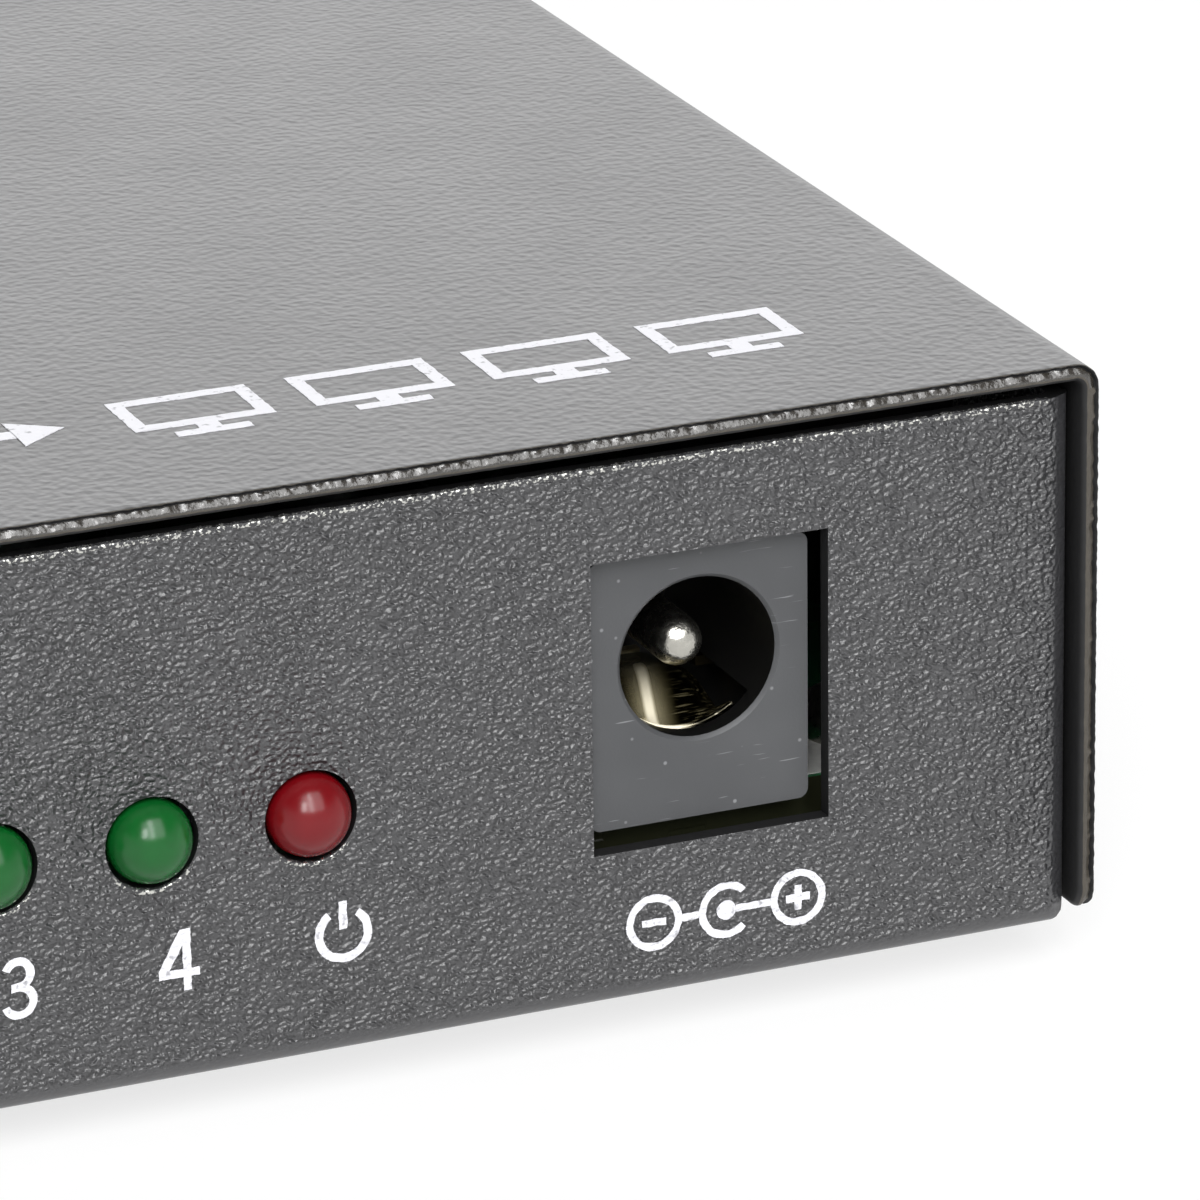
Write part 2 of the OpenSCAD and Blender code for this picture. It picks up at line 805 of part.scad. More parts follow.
// Part of a ring round the bore, spanning an arc about the downward direction
module lower_arc(arc) {
    rotate([-90, 0, 0]) rotate(90 - arc / 2) rotate_extrude(angle = arc) children();
}

module jack_body() {
    along_y(jack_block_d) translate([0, jack_h / 2 - jack_axis_h]) rounded(jack_w, jack_h, jack_corner_r);
    bar_y(barrel_d, jack_len);
    block([-barrel_d / 2, barrel_d / 2], [0, jack_len], [-jack_axis_h, 0]);
}

module jack_housing() {
    slot_x = terminal_w / 2 + terminal_gap;
    below = -jack_axis_h - cut;
    color("#646567") at_jack() difference() {
        jack_body();
        translate([0, -cut, 0]) bar_y(bore_d, bore_depth + cut);
        rotate([-90, 0, 0]) cylinder(d1 = bore_d + 2 * mouth_bevel, d2 = bore_d, h = mouth_bevel);
        lower_arc(channel_arc) translate([bore_d / 2 - cut, channel_front])
            square([channel_r - bore_d / 2 + cut, bore_depth - channel_front]);
        bar_y(rivet_d + 2 * press_gap, jack_len + cut);
        block([-slot_x, slot_x], [pin_terminal_y, jack_len + cut], [below, barrel_d]);
        block(
            [-slot_x, slot_x],
            [leaf_terminal_y - terminal_gap, leaf_terminal_y + terminal_t + terminal_gap],
            [below, -leaf_root_r]
        );
        block(
            [nose_x - terminal_gap, barrel_d / 2 + cut],
            [nose_y[0] - terminal_gap, nose_y[1] + terminal_gap],
            [nose_z[0] - terminal_gap, nose_z[1] + terminal_gap]
        );
    }
}

module jack_centre_pin() {
    pin_len = bore_depth - pin_setback;
    color("#d0d0cc") at_jack() {
        translate([0, bore_depth, 0]) rotate([90, 0, 0]) rotate_extrude() intersection() {
            rounded(pin_d, 2 * pin_len, pin_edge_r);
            square([pin_d / 2, pin_len]);
        }
        translate([0, bore_depth - cut, 0]) bar_y(rivet_d, rear_wall + terminal_t + cut);
    }
}

module jack_pin_terminal() {
    x = terminal_w / 2;
    color("#d0d0cc") at_jack() difference() {
        block([-x, x], [pin_terminal_y, pin_terminal_y + terminal_t], [terminal_bottom, x]);
        bar_y(rivet_d + 2 * press_gap, jack_len);
    }
}

// Bent sheet under a surface that is given as rows of points, each row running along +X
module sheet_under(rows, t) {
    top = [for (row = rows) each row];
    wide = len(rows[0]);
    under = len(top);
    end = under - wide;
    edge = wide - 1;
    quads = concat(
        [for (n = [0:wide:end - wide], m = [n:n + edge - 1]) [m, m + wide, m + wide + 1, m + 1]],
        [for (n = [0:wide:end - wide], m = [n:n + edge - 1])
            [m + under, m + under + 1, m + under + wide + 1, m + under + wide]],
        [for (m = [0:edge - 1]) [m + under, m, m + 1, m + under + 1]],
        [for (m = [end:end + edge - 1]) [m + under + 1, m + 1, m, m + under]],
        [for (n = [0:wide:end - wide]) [n + under + wide, n + wide, n, n + under]],
        [for (n = [edge:wide:end - 1]) [n + under, n, n + wide, n + under + wide]]
    );
    polyhedron(
        concat(top, [for (p = top) p - [0, 0, t]]),
        [for (q = quads) each [[q[0], q[1], q[2]], [q[0], q[2], q[3]]]]
    );
}

module jack_contact_leaf() {
    across = [for (m = [0:leaf_steps[0]]) leaf_w * (m / leaf_steps[0] - 1 / 2)];
    depths = [for (n = [0:leaf_steps[1]]) leaf_front + (leaf_root - leaf_front) * n / leaf_steps[1]];
    color("#d8cfae") at_jack()
        sheet_under([for (y = depths) [for (x = across) [x, y, leaf_z(x, y)]]], leaf_t);
}

module jack_leaf_terminal() {
    x = terminal_w / 2;
    color("#d8cfae") at_jack()
        block([-x, x], [leaf_terminal_y, leaf_terminal_y + terminal_t], [terminal_bottom, -leaf_root_r]);
}

module jack_switch_terminal() {
    outer_x = switch_x + terminal_t;
    color("#d8cfae") at_jack() {
        block([nose_x, outer_x], nose_y, nose_z);
        block([switch_x, outer_x], nose_y, [terminal_bottom, nose_z[1]]);
    }
}

// Indicator lamps, drawn about the axis of the lens with the panel face at Y = 0

// A lead from inside the lens, back and down through the board
module lead() {
    rotate([90, 0, 90]) linear_extrude(lead_w, center = true) polygon([
        [lens_back - lead_grip, lead_w / 2],
        [lead_turn, lead_w / 2],
        [lead_turn, tail_bottom - lamp_h],
        [lead_turn - lead_w, tail_bottom - lamp_h],
        [lead_turn - lead_w, -lead_w / 2],
        [lens_back - lead_grip, -lead_w / 2]
    ]);
}

module lens() {
    side = lead_w + 2 * terminal_gap;
    difference() {
        union() {
            translate([0, dome_setback, 0]) sphere(d = lens_d);
            translate([0, dome_setback, 0]) bar_y(lens_d, lens_len + cut);
            translate([0, lens_back - rim_t, 0]) bar_y(rim_d, rim_t);
        }
        for (x = [-1, 1]) {
            translate([x * lead_pitch / 2, lens_back, 0])
                cube([side, 2 * (lead_grip + terminal_gap), side], center = true);
        }
    }
}

module output_led(n) {
    color("#1f6e35") translate([lamp_x(n), front_y, lamp_z]) lens();
}

module power_led() {
    color("#8a1a24") translate([power_x, front_y, lamp_z]) lens();
}

module led_leads() {
    color("#c8c8c4") at_lamps() for (x = [-1, 1]) {
        translate([x * lead_pitch / 2, 0, 0]) lead();
    }
}

// Board components

// Places a child on the board, about a point measured from the board's middle
module on_board(place) {
    translate([place[0], place[1], board_top]) children();
}

// A lead of a flat package, from the side of the body at X = 0 down to the board
module gull_lead(w, h) {
    t = chip_lead_t;
    knee = chip_lead_reach / 3;
    rotate([90, 0, 0]) linear_extrude(w, center = true) polygon([
        [0, h],
        [knee, h],
        [knee, t],
        [chip_lead_reach, t],
        [chip_lead_reach, 0],
        [knee - t, 0],
        [knee - t, h - t],
        [0, h - t]
    ]);
}

// A row of leads along the side of a body
module lead_row(count, pitch, w, h) {
    for (n = [0:count - 1]) {
        translate([0, (n - (count - 1) / 2) * pitch, 0]) gull_lead(w, h);
    }
}

module splitter_chip() {
    x = chip_side / 2;
    color("#202020") on_board(chip_at) block([-x, x], [-x, x], [chip_lift, chip_lift + chip_h]);
}

module splitter_chip_leads() {
    color("#c0c0bc") on_board(chip_at) for (turn = [0:90:270]) {
        rotate(turn) translate([chip_side / 2, 0, 0])
            lead_row(chip_leads, chip_lead_pitch, chip_lead_pitch / 2, chip_lift + chip_h / 2);
    }
}

module control_chip() {
    x = control_size[0] / 2;
    y = control_size[1] / 2;
    color("#202020") on_board(control_at) block([-x, x], [-y, y], [chip_lift, chip_lift + control_h]);
}

module control_chip_leads() {
    color("#c0c0bc") on_board(control_at) for (turn = [90, 270]) {
        rotate(turn) translate([control_size[1] / 2, 0, 0])
            lead_row(control_leads, control_lead_pitch, control_lead_pitch / 3, chip_lift + control_h / 2);
    }
}

// Outline with two straight sides and two half-round ends
module stadium(len, w) {
    square([len - w, w], center = true);
    for (side = [-1, 1]) {
        translate([side * (len - w) / 2, 0]) circle(d = w);
    }
}

module clock_crystal() {
    grow = 2 * crystal_flange[0];
    color("#bdbdb8") on_board(crystal_at) {
        linear_extrude(crystal_size[2]) stadium(crystal_size[0], crystal_size[1]);
        linear_extrude(crystal_flange[1]) stadium(crystal_size[0] + grow, crystal_size[1] + grow);
    }
}

module voltage_regulator() {
    x = regulator_size[0] / 2;
    y = regulator_size[1] / 2;
    z = [chip_lift, chip_lift + regulator_size[2]];
    color("#202020") on_board(regulator_at) block([-x, x], [-y, y], z);
}

module regulator_leads() {
    h = chip_lift + regulator_size[2] / 2;
    side = regulator_size[1] / 2;
    color("#c0c0bc") on_board(regulator_at) {
        rotate(90) translate([side, 0, 0]) gull_lead(regulator_tab_w, h);
        rotate(-90) translate([side, 0, 0]) lead_row(3, regulator_lead_pitch, regulator_lead_w, h);
    }
}

module power_inductor() {
    recess = inductor_h / 6;
    groove_d = (inductor_side + inductor_core_d) / 2;
    color("#3a3a3c") on_board(inductor_at) difference() {
        linear_extrude(inductor_h) rounded(inductor_side, inductor_side, inductor_side / 6);
        translate([0, 0, inductor_h - recess]) difference() {
            cylinder(d = groove_d, h = recess + cut);
            cylinder(d = inductor_core_d, h = recess + cut);
        }
    }
}

module capacitor_cans() {
    color("#c4c6c8") for (place = can_at) {
        on_board(place) translate([0, 0, can_base[1]]) rotate_extrude() intersection() {
            rounded(can_d, 2 * (can_h - can_base[1]), can_edge_r);
            square([can_d / 2, can_h - can_base[1]]);
        }
    }
}

// The base's two cut corners mark the positive side
module capacitor_bases() {
    x = can_base[0] / 2;
    bevel = x / 3;
    color("#242424") for (place = can_at) {
        on_board(place) linear_extrude(can_base[1])
            polygon([[-x, -x], [x - bevel, -x], [x, bevel - x], [x, x - bevel], [x - bevel, x], [-x, x]]);
    }
}

module chip_capacitors() {
    color("#a08868") on_board(chip_at) for (turn = [0:90:270], n = [0:chip_caps - 1]) {
        rotate(turn) translate([
            chip_side / 2 + chip_lead_reach + chip_cap_gap,
            (n - (chip_caps - 1) / 2) * chip_cap_pitch - chip_cap_size[1] / 2,
            0
        ]) cube(chip_cap_size);
    }
}

top_cover();
base_chassis();
cover_screws();
for (n = [1:4]) {
    rubber_foot(n);
}
main_board();
board_standoffs();
board_screws();
input_shell();
input_insert();
input_contacts();
for (n = [1:outputs]) {
    output_shell(n);
    output_insert(n);
    output_contacts(n);
    output_led(n);
}
jack_housing();
jack_centre_pin();
jack_pin_terminal();
jack_contact_leaf();
jack_leaf_terminal();
jack_switch_terminal();
power_led();
led_leads();
splitter_chip();
splitter_chip_leads();
control_chip();
control_chip_leads();
clock_crystal();
voltage_regulator();
regulator_leads();
power_inductor();
capacitor_cans();
capacitor_bases();
chip_capacitors();
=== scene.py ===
"""A video splitter in a folded steel case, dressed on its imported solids.

Blender works in metres, so sizes in millimetres are written times MM.
"""

import math
import random

import bmesh
import bpy
from mathutils import Matrix, Vector, noise


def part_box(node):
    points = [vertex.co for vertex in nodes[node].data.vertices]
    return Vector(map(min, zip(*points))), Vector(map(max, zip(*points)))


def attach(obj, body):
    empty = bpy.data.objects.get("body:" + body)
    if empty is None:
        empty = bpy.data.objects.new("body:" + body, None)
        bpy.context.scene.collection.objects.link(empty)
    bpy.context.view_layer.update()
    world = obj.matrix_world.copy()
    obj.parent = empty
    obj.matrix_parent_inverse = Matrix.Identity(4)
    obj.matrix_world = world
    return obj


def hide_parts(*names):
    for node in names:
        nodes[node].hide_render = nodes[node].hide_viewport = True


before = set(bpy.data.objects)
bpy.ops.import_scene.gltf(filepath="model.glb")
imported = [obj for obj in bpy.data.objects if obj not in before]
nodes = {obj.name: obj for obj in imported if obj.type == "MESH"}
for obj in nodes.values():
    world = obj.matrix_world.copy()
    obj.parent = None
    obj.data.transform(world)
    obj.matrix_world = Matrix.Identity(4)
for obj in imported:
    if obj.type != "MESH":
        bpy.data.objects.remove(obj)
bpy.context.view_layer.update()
scene = bpy.context.scene
MM = 0.001

# Camera
# A long lens, low over the front and turned to the right of the case's depth. Its place, turn and focal
# length were solved from the straight edges of the case.
camera_place = Vector((-68.624, -289.101, 122.649)) * MM
camera_turn = math.radians(22.814)
camera_dip = math.radians(20.490)
camera_roll = math.radians(-0.736)
camera = bpy.data.objects.new("camera", bpy.data.cameras.new("camera"))
camera.data.sensor_width = 36
camera.data.lens = 239.6
camera.data.clip_start = 0.01
camera.matrix_world = (
    Matrix.Translation(camera_place)
    @ Matrix.Rotation(-camera_turn, 4, "Z")
    @ Matrix.Rotation(math.pi / 2 - camera_dip, 4, "X")
    @ Matrix.Rotation(camera_roll, 4, "Z")
)
scene.collection.objects.link(camera)
scene.camera = camera
scene.view_settings.view_transform = "Standard"


# Floor and light
# White paper on a table under four soft boxes: a broad one over the camera with a bright strip before it, one
# at the left and one behind. The walls of the room are white near the floor and grow dim higher up.
def linear(code):
    """Linear colour of an sRGB hex code."""
    parts = [int(code[i : i + 2], 16) / 255 for i in (1, 3, 5)]
    return [p / 12.92 if p <= 0.04045 else ((p + 0.055) / 1.055) ** 2.4 for p in parts] + [1.0]


def add(tree, kind, inputs=(), **settings):
    """Adds a node with its settings. Inputs are values or sockets to link, by socket name or number."""
    made = tree.nodes.new(kind)
    for name, value in settings.items():
        setattr(made, name, value)
    for name, value in dict(inputs).items():
        if isinstance(value, bpy.types.NodeSocket):
            tree.links.new(value, made.inputs[name])
        else:
            made.inputs[name].default_value = value
    return made


room = bpy.data.worlds.new("white_room")
room.use_nodes = True
tree = room.node_tree
tree.nodes.clear()
towards = add(tree, "ShaderNodeSeparateXYZ", {0: add(tree, "ShaderNodeTexCoord").outputs["Generated"]})
dimming = add(
    tree,
    "ShaderNodeMapRange",
    {"Value": towards.outputs["Z"], "From Min": 0.15, "From Max": 0.6, "To Min": 0.9, "To Max": 0.15},
    interpolation_type="SMOOTHSTEP",
)
walls = add(tree, "ShaderNodeBackground", {"Color": linear("#ffffff"), "Strength": dimming.outputs[0]})
add(tree, "ShaderNodeOutputWorld", {"Surface": walls.outputs[0]})
scene.world = room

# Uncoated paper, matt, with fibres. To the camera and in reflections it is partly its own white, so that
# the shadow on it stays faint.
own_white, floor_r = 0.75, 3.0
paper = bpy.data.materials.new("uncoated_paper")
paper.use_nodes = True
tree = paper.node_tree
tree.nodes.clear()
place = add(tree, "ShaderNodeTexCoord").outputs["Object"]
fibres = add(tree, "ShaderNodeTexNoise", {"Vector": place, "Scale": 1 / (1.5 * MM), "Detail": 4.0})
tone = add(
    tree,
    "ShaderNodeMix",
    {"Factor": fibres.outputs["Fac"], 6: linear("#f4f4f4"), 7: linear("#f8f8f8")},
    data_type="RGBA",
)
lit = add(tree, "ShaderNodeBsdfDiffuse", {"Color": tone.outputs[2]})
own = add(tree, "ShaderNodeEmission", {"Color": linear("#ffffff"), "Strength": 1.0})
path = add(tree, "ShaderNodeLightPath").outputs
mirrored = add(
    tree, "ShaderNodeMath", {0: path["Is Glossy Ray"], 1: path["Is Transmission Ray"]}, operation="MAXIMUM"
)
seen = add(tree, "ShaderNodeMath", {0: path["Is Camera Ray"], 1: mirrored.outputs[0]}, operation="MAXIMUM")
share = add(tree, "ShaderNodeMath", {0: seen.outputs[0], 1: own_white}, operation="MULTIPLY")
both = add(tree, "ShaderNodeMixShader", {0: share.outputs[0], 1: lit.outputs[0], 2: own.outputs[0]})
add(tree, "ShaderNodeOutputMaterial", {"Surface": both.outputs[0]})

shape = bmesh.new()
bmesh.ops.create_circle(shape, cap_ends=True, segments=96, radius=floor_r)
floor = bpy.data.objects.new("floor", bpy.data.meshes.new("floor"))
shape.to_mesh(floor.data)
shape.free()
floor.data.materials.append(paper)
scene.collection.objects.link(floor)


def soft_box(name, turn, height, distance, wide, tall, radiance):
    """A soft box that faces the case. Turn is from the front towards the right, in degrees."""
    turn, height = math.radians(turn), math.radians(height)
    out = Vector((math.sin(turn) * math.cos(height), -math.cos(turn) * math.cos(height), math.sin(height)))
    lamp = bpy.data.lights.new(name, "AREA")
    lamp.shape = "RECTANGLE"
    lamp.size = wide
    lamp.size_y = tall
    lamp.energy = radiance * math.pi * wide * tall
    box = bpy.data.objects.new(name, lamp)
    box.matrix_world = Matrix.Translation(out * distance) @ out.to_track_quat("Z", "Y").to_matrix().to_4x4()
    box.visible_camera = False
    scene.collection.objects.link(box)


soft_box("front_box", turn=5, height=46, distance=1.0, wide=0.92, tall=0.9, radiance=3)
soft_box("strip_box", turn=-4, height=46, distance=0.98, wide=0.16, tall=0.85, radiance=7)
soft_box("left_box", turn=-27, height=36, distance=1.2, wide=0.25, tall=0.5, radiance=12)
soft_box("rear_box", turn=157, height=28, distance=1.4, wide=1.2, tall=1.2, radiance=1.4)


# Base chassis
# Steel sheet folded into a base with front and rear panels and punched for the lamps and sockets. It is
# powder coated, so paint rounds every cut edge and the flat faces have a fine wrinkle.
pebble, ripple, calm_patch, stretch = 0.165 * MM, 0.28 * MM, 1.0 * MM, (0.8, 0.8, 1.0)
level_share, fold_share = 0.17, 0.15


def wrinkle(tree, coords, relief):
    """Bump of the wrinkled coat: fine pebbles upright, broad low ripples on level faces, smooth folds."""
    facing = add(tree, "ShaderNodeVectorMath", {0: coords["Normal"]}, operation="ABSOLUTE")
    axes = add(tree, "ShaderNodeSeparateXYZ", {0: facing.outputs[0]}).outputs
    wide = add(tree, "ShaderNodeVectorMath", {0: coords["Object"], 1: stretch}, operation="MULTIPLY")
    wide = wide.outputs[0]
    pebbles = add(tree, "ShaderNodeTexNoise", {"Vector": wide, "Scale": 1 / pebble, "Detail": 0.5})
    ripples = add(tree, "ShaderNodeTexNoise", {"Vector": wide, "Scale": 1 / ripple, "Detail": 0.5})
    height = add(
        tree, "ShaderNodeMix", {0: axes["Z"], 2: pebbles.outputs["Fac"], 3: ripples.outputs["Fac"]}
    )
    calm = add(tree, "ShaderNodeTexNoise", {"Vector": wide, "Scale": 1 / calm_patch, "Detail": 1.0})
    least = 0.8 * relief
    strong = add(
        tree,
        "ShaderNodeMapRange",
        {"Value": calm.outputs["Fac"], "From Min": 0.3, "From Max": 0.6, "To Min": least, "To Max": relief},
    )
    sideways = add(tree, "ShaderNodeMath", {0: axes["X"], 1: axes["Y"]}, operation="MAXIMUM")
    straight = add(tree, "ShaderNodeMath", {0: sideways.outputs[0], 1: axes["Z"]}, operation="MAXIMUM")
    on_flat = add(
        tree,
        "ShaderNodeMapRange",
        {
            "Value": straight.outputs[0],
            "From Min": 0.9,
            "From Max": 0.995,
            "To Min": fold_share,
            "To Max": 1.0,
        },
    )
    level = add(tree, "ShaderNodeMapRange", {"Value": axes["Z"], "To Min": 1.0, "To Max": level_share})
    share = add(tree, "ShaderNodeMath", {0: on_flat.outputs[0], 1: level.outputs[0]}, operation="MULTIPLY")
    rise = add(tree, "ShaderNodeMath", {0: strong.outputs[0], 1: share.outputs[0]}, operation="MULTIPLY")
    bump = add(
        tree, "ShaderNodeBump", {"Strength": 1.0, "Distance": rise.outputs[0], "Height": height.outputs[0]}
    )
    return bump.outputs[0]


# Polyester powder, baked until its skin shrinks into wrinkles: dark grey, each pebble with a soft gloss.
coat = bpy.data.materials.new("wrinkle_powder_coat")
coat.use_nodes = True
tree = coat.node_tree
shader = tree.nodes["Principled BSDF"]
coords = add(tree, "ShaderNodeTexCoord").outputs
patches = add(tree, "ShaderNodeTexNoise", {"Vector": coords["Object"], "Scale": 1 / (6 * MM), "Detail": 3.0})
tone = add(
    tree,
    "ShaderNodeMix",
    {"Factor": patches.outputs["Fac"], 6: linear("#29292b"), 7: linear("#343436")},
    data_type="RGBA",
)
gloss = add(tree, "ShaderNodeMapRange", {"Value": patches.outputs["Fac"], "To Min": 0.33, "To Max": 0.41})
tree.links.new(tone.outputs[2], shader.inputs["Base Color"])
tree.links.new(gloss.outputs[0], shader.inputs["Roughness"])
tree.links.new(wrinkle(tree, coords, 0.33 * MM), shader.inputs["Normal"])
shader.inputs["Specular IOR Level"].default_value = 1.0


def plain_mesh(made, name):
    """The object's shape as a new plain mesh, with its modifiers worked in."""
    mesh = bpy.data.meshes.new_from_object(made.evaluated_get(bpy.context.evaluated_depsgraph_get()))
    mesh.name = name
    return mesh


def piece_from(shape, name):
    """An object at the origin with a new mesh from a bmesh, which is then freed."""
    piece = bpy.data.objects.new(name, bpy.data.meshes.new(name))
    shape.to_mesh(piece.data)
    shape.free()
    scene.collection.objects.link(piece)
    return piece


def rounded_copy(node, name, radius, steps=2):
    """A copy of a solid with its facets joined to whole faces and its sharp edges rounded."""
    shape = bmesh.new()
    shape.from_mesh(nodes[node].data)
    bmesh.ops.remove_doubles(shape, verts=shape.verts, dist=0.0005 * MM)
    bmesh.ops.dissolve_limit(shape, angle_limit=math.radians(0.5), verts=shape.verts, edges=shape.edges)
    piece = piece_from(shape, name)
    piece.data.shade_smooth()
    edge = piece.modifiers.new("rounded_edges", "BEVEL")
    edge.width = radius
    edge.segments = steps
    edge.limit_method = "ANGLE"
    edge.angle_limit = math.radians(30)
    straight = piece.modifiers.new("straight_faces", "WEIGHTED_NORMAL")
    straight.weight = 100
    piece.data = plain_mesh(piece, name)
    piece.modifiers.clear()
    return piece


def fit(piece, finishes, replaced=(), body="splitter"):
    """Gives a finished piece its materials and its place in the frame."""
    for finish in finishes:
        if finish.name not in piece.data.materials:
            piece.data.materials.append(finish)
    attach(piece, body)
    if replaced:
        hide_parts(*replaced)


def grained(name, light, dark, grain, rough, metallic=0.0, relief=0.0):
    """A finish whose tone, gloss and relief vary together, with a grain of the given size."""
    made = bpy.data.materials.new(name)
    made.use_nodes = True
    tree = made.node_tree
    shader = tree.nodes["Principled BSDF"]
    shader.inputs["Metallic"].default_value = metallic
    place = add(tree, "ShaderNodeTexCoord").outputs["Object"]
    grains = add(tree, "ShaderNodeTexNoise", {"Vector": place, "Scale": 1 / grain, "Detail": 3.0})
    tone = add(
        tree,
        "ShaderNodeMix",
        {"Factor": grains.outputs["Fac"], 6: linear(dark), 7: linear(light)},
        data_type="RGBA",
    )
    gloss = add(
        tree, "ShaderNodeMapRange", {"Value": grains.outputs["Fac"], "To Min": rough[0], "To Max": rough[1]}
    )
    bump = add(tree, "ShaderNodeBump", {"Strength": 1.0, "Distance": relief, "Height": grains.outputs["Fac"]})
    tree.links.new(tone.outputs[2], shader.inputs["Base Color"])
    tree.links.new(gloss.outputs[0], shader.inputs["Roughness"])
    tree.links.new(bump.outputs[0], shader.inputs["Normal"])
    return made


# Painted shade: a nearly black, dull finish laid where shade falls, on the chassis's inside and punched edges
# and in the cover's edge crease, underside and inside.
shade_black = grained("painted_shade_black", "#161617", "#0e0e0f", 0.2 * MM, (0.5, 0.65), relief=0.01 * MM)
chassis = rounded_copy("base_chassis", "chassis", 0.12 * MM)
chassis_low, chassis_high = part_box("base_chassis")
# The panels' ends reach a little nearer to the cover than the solid's do, so that the gap is as narrow as the
# real one. The inside and the punched edges get the painted shade.
panel_in = chassis_high.y - 0.65 * MM
near_panel, end_band, end_reach = panel_in - 0.2 * MM, 0.3 * MM, 0.14 * MM
inner_x, inner_top = chassis_high.x - 1.5 * MM, chassis_high.z - MM
for vert in chassis.data.vertices:
    if abs(vert.co.y) > near_panel and abs(vert.co.x) > chassis_high.x - end_band:
        vert.co.x += math.copysign(end_reach, vert.co.x)
for polygon in chassis.data.polygons:
    at, facing = polygon.center, polygon.normal
    between = abs(at.x) < inner_x
    inside = between and abs(at.y) < panel_in and facing.z > -0.5
    punched = between and abs(at.y) > panel_in and abs(facing.y) < 0.5 and at.z < inner_top
    polygon.material_index = 1 if inside or punched else 0
fit(chassis, [coat, shade_black], ["base_chassis"])

# The powder gathers into a thin lumpy bead along the panels' cut edges: their tops, and round the lamps.
# Bead paint: the same powder, glossy. Bright steel shows where it broke, below the lamps and on top.
low_rim_z, top_rim_z = (10.3 * MM, 10.8 * MM), (23.0 * MM, 23.3 * MM)
rim_paint = bpy.data.materials.new("chipped_powder")
rim_paint.use_nodes = True
tree = rim_paint.node_tree
shader = tree.nodes["Principled BSDF"]
place = add(tree, "ShaderNodeTexCoord").outputs["Object"]
chips = add(tree, "ShaderNodeTexNoise", {"Vector": place, "Scale": 1 / (0.14 * MM), "Detail": 1.0})
gone = add(tree, "ShaderNodeMapRange", {"Value": chips.outputs["Fac"], "From Min": 0.52, "From Max": 0.62})
height = add(tree, "ShaderNodeSeparateXYZ", {0: place}).outputs["Z"]
low_rim = add(
    tree,
    "ShaderNodeMapRange",
    {"Value": height, "From Min": low_rim_z[0], "From Max": low_rim_z[1], "To Min": 1.0, "To Max": 0.0},
)
top_rim = add(
    tree, "ShaderNodeMapRange", {"Value": height, "From Min": top_rim_z[0], "From Max": top_rim_z[1]}
)
rims = add(tree, "ShaderNodeMath", {0: low_rim.outputs[0], 1: top_rim.outputs[0]}, operation="ADD")
chips_and_edge_shade = add(tree, "ShaderNodeMath", {0: gone.outputs[0], 1: rims.outputs[0]}, operation="MULTIPLY").outputs[0]
tone = add(
    tree, "ShaderNodeMix", {"Factor": chips_and_edge_shade, 6: linear("#39393b"), 7: linear("#d8d8d2")}, data_type="RGBA"
)
tree.links.new(tone.outputs[2], shader.inputs["Base Color"])
tree.links.new(chips_and_edge_shade, shader.inputs["Metallic"])
shader.inputs["Roughness"].default_value = 0.25
spots = []
for lamp in ["power_led"] + [f"output_led_{n}" for n in (1, 2, 3, 4)]:
    low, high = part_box(lamp)
    spots.append((low + high) / 2)
bead_r, ring_bead_r, fold_r, lamp_ring_r = 0.16 * MM, 0.13 * MM, 1.0 * MM, 1.93 * MM
sunk, ring_sunk = 0.75, 0.55
ring_steps, ring_from, ring_turn = 20, 200, 140
places, joins, radii = [], [], []
for y, inward in ((chassis_low.y, 1), (chassis_high.y, -1)):
    start = len(places)
    for x in (chassis_low.x + fold_r, chassis_high.x - fold_r):
        places.append((x, y + inward * sunk * bead_r, chassis_high.z - sunk * bead_r))
        radii.append(bead_r)
    joins.append((start, start + 1))
for spot in spots:
    start = len(places)
    for n in range(ring_steps + 1):
        a = math.radians(ring_from + ring_turn * n / ring_steps)
        across, up = lamp_ring_r * math.cos(a), lamp_ring_r * math.sin(a)
        places.append((spot.x + across, chassis_low.y + ring_sunk * ring_bead_r, spot.z + up))
        radii.append(ring_bead_r * math.sqrt(math.sin(math.pi * (n + 0.5) / (ring_steps + 1))))
        if n:
            joins.append((start + n - 1, start + n))
edges = bpy.data.meshes.new("panel_beads")
edges.from_pydata(places, joins, [])
edges.attributes.new("thick", "FLOAT", "POINT").data.foreach_set("value", radii)
tree = bpy.data.node_groups.new("paint_beads", "GeometryNodeTree")
tree.interface.new_socket("Geometry", in_out="INPUT", socket_type="NodeSocketGeometry")
spacing = tree.interface.new_socket("Spacing", in_out="INPUT", socket_type="NodeSocketFloat")
lump = tree.interface.new_socket("Lump Size", in_out="INPUT", socket_type="NodeSocketFloat")
finish = tree.interface.new_socket("Finish", in_out="INPUT", socket_type="NodeSocketMaterial")
tree.interface.new_socket("Geometry", in_out="OUTPUT", socket_type="NodeSocketGeometry")
given = add(tree, "NodeGroupInput").outputs
curve = add(tree, "GeometryNodeMeshToCurve", {0: given["Geometry"]})
steps = add(
    tree,
    "GeometryNodeResampleCurve",
    {"Curve": curve.outputs[0], "Length": given["Spacing"]},
    mode="LENGTH",
)
lumps = add(
    tree,
    "ShaderNodeTexNoise",
    {"Scale": add(tree, "ShaderNodeMath", {0: 1.0, 1: given["Lump Size"]}, operation="DIVIDE").outputs[0]},
)
swing = add(
    tree,
    "ShaderNodeMapRange",
    {"Value": lumps.outputs["Fac"], "From Min": 0.3, "From Max": 0.7, "To Min": 0.75, "To Max": 1.25},
)
thick = add(tree, "GeometryNodeInputNamedAttribute", {"Name": "thick"}, data_type="FLOAT")
swollen_r = add(tree, "ShaderNodeMath", {0: thick.outputs[0], 1: swing.outputs[0]}, operation="MULTIPLY")
section = add(tree, "GeometryNodeCurvePrimitiveCircle", {"Resolution": 10, "Radius": 1.0})
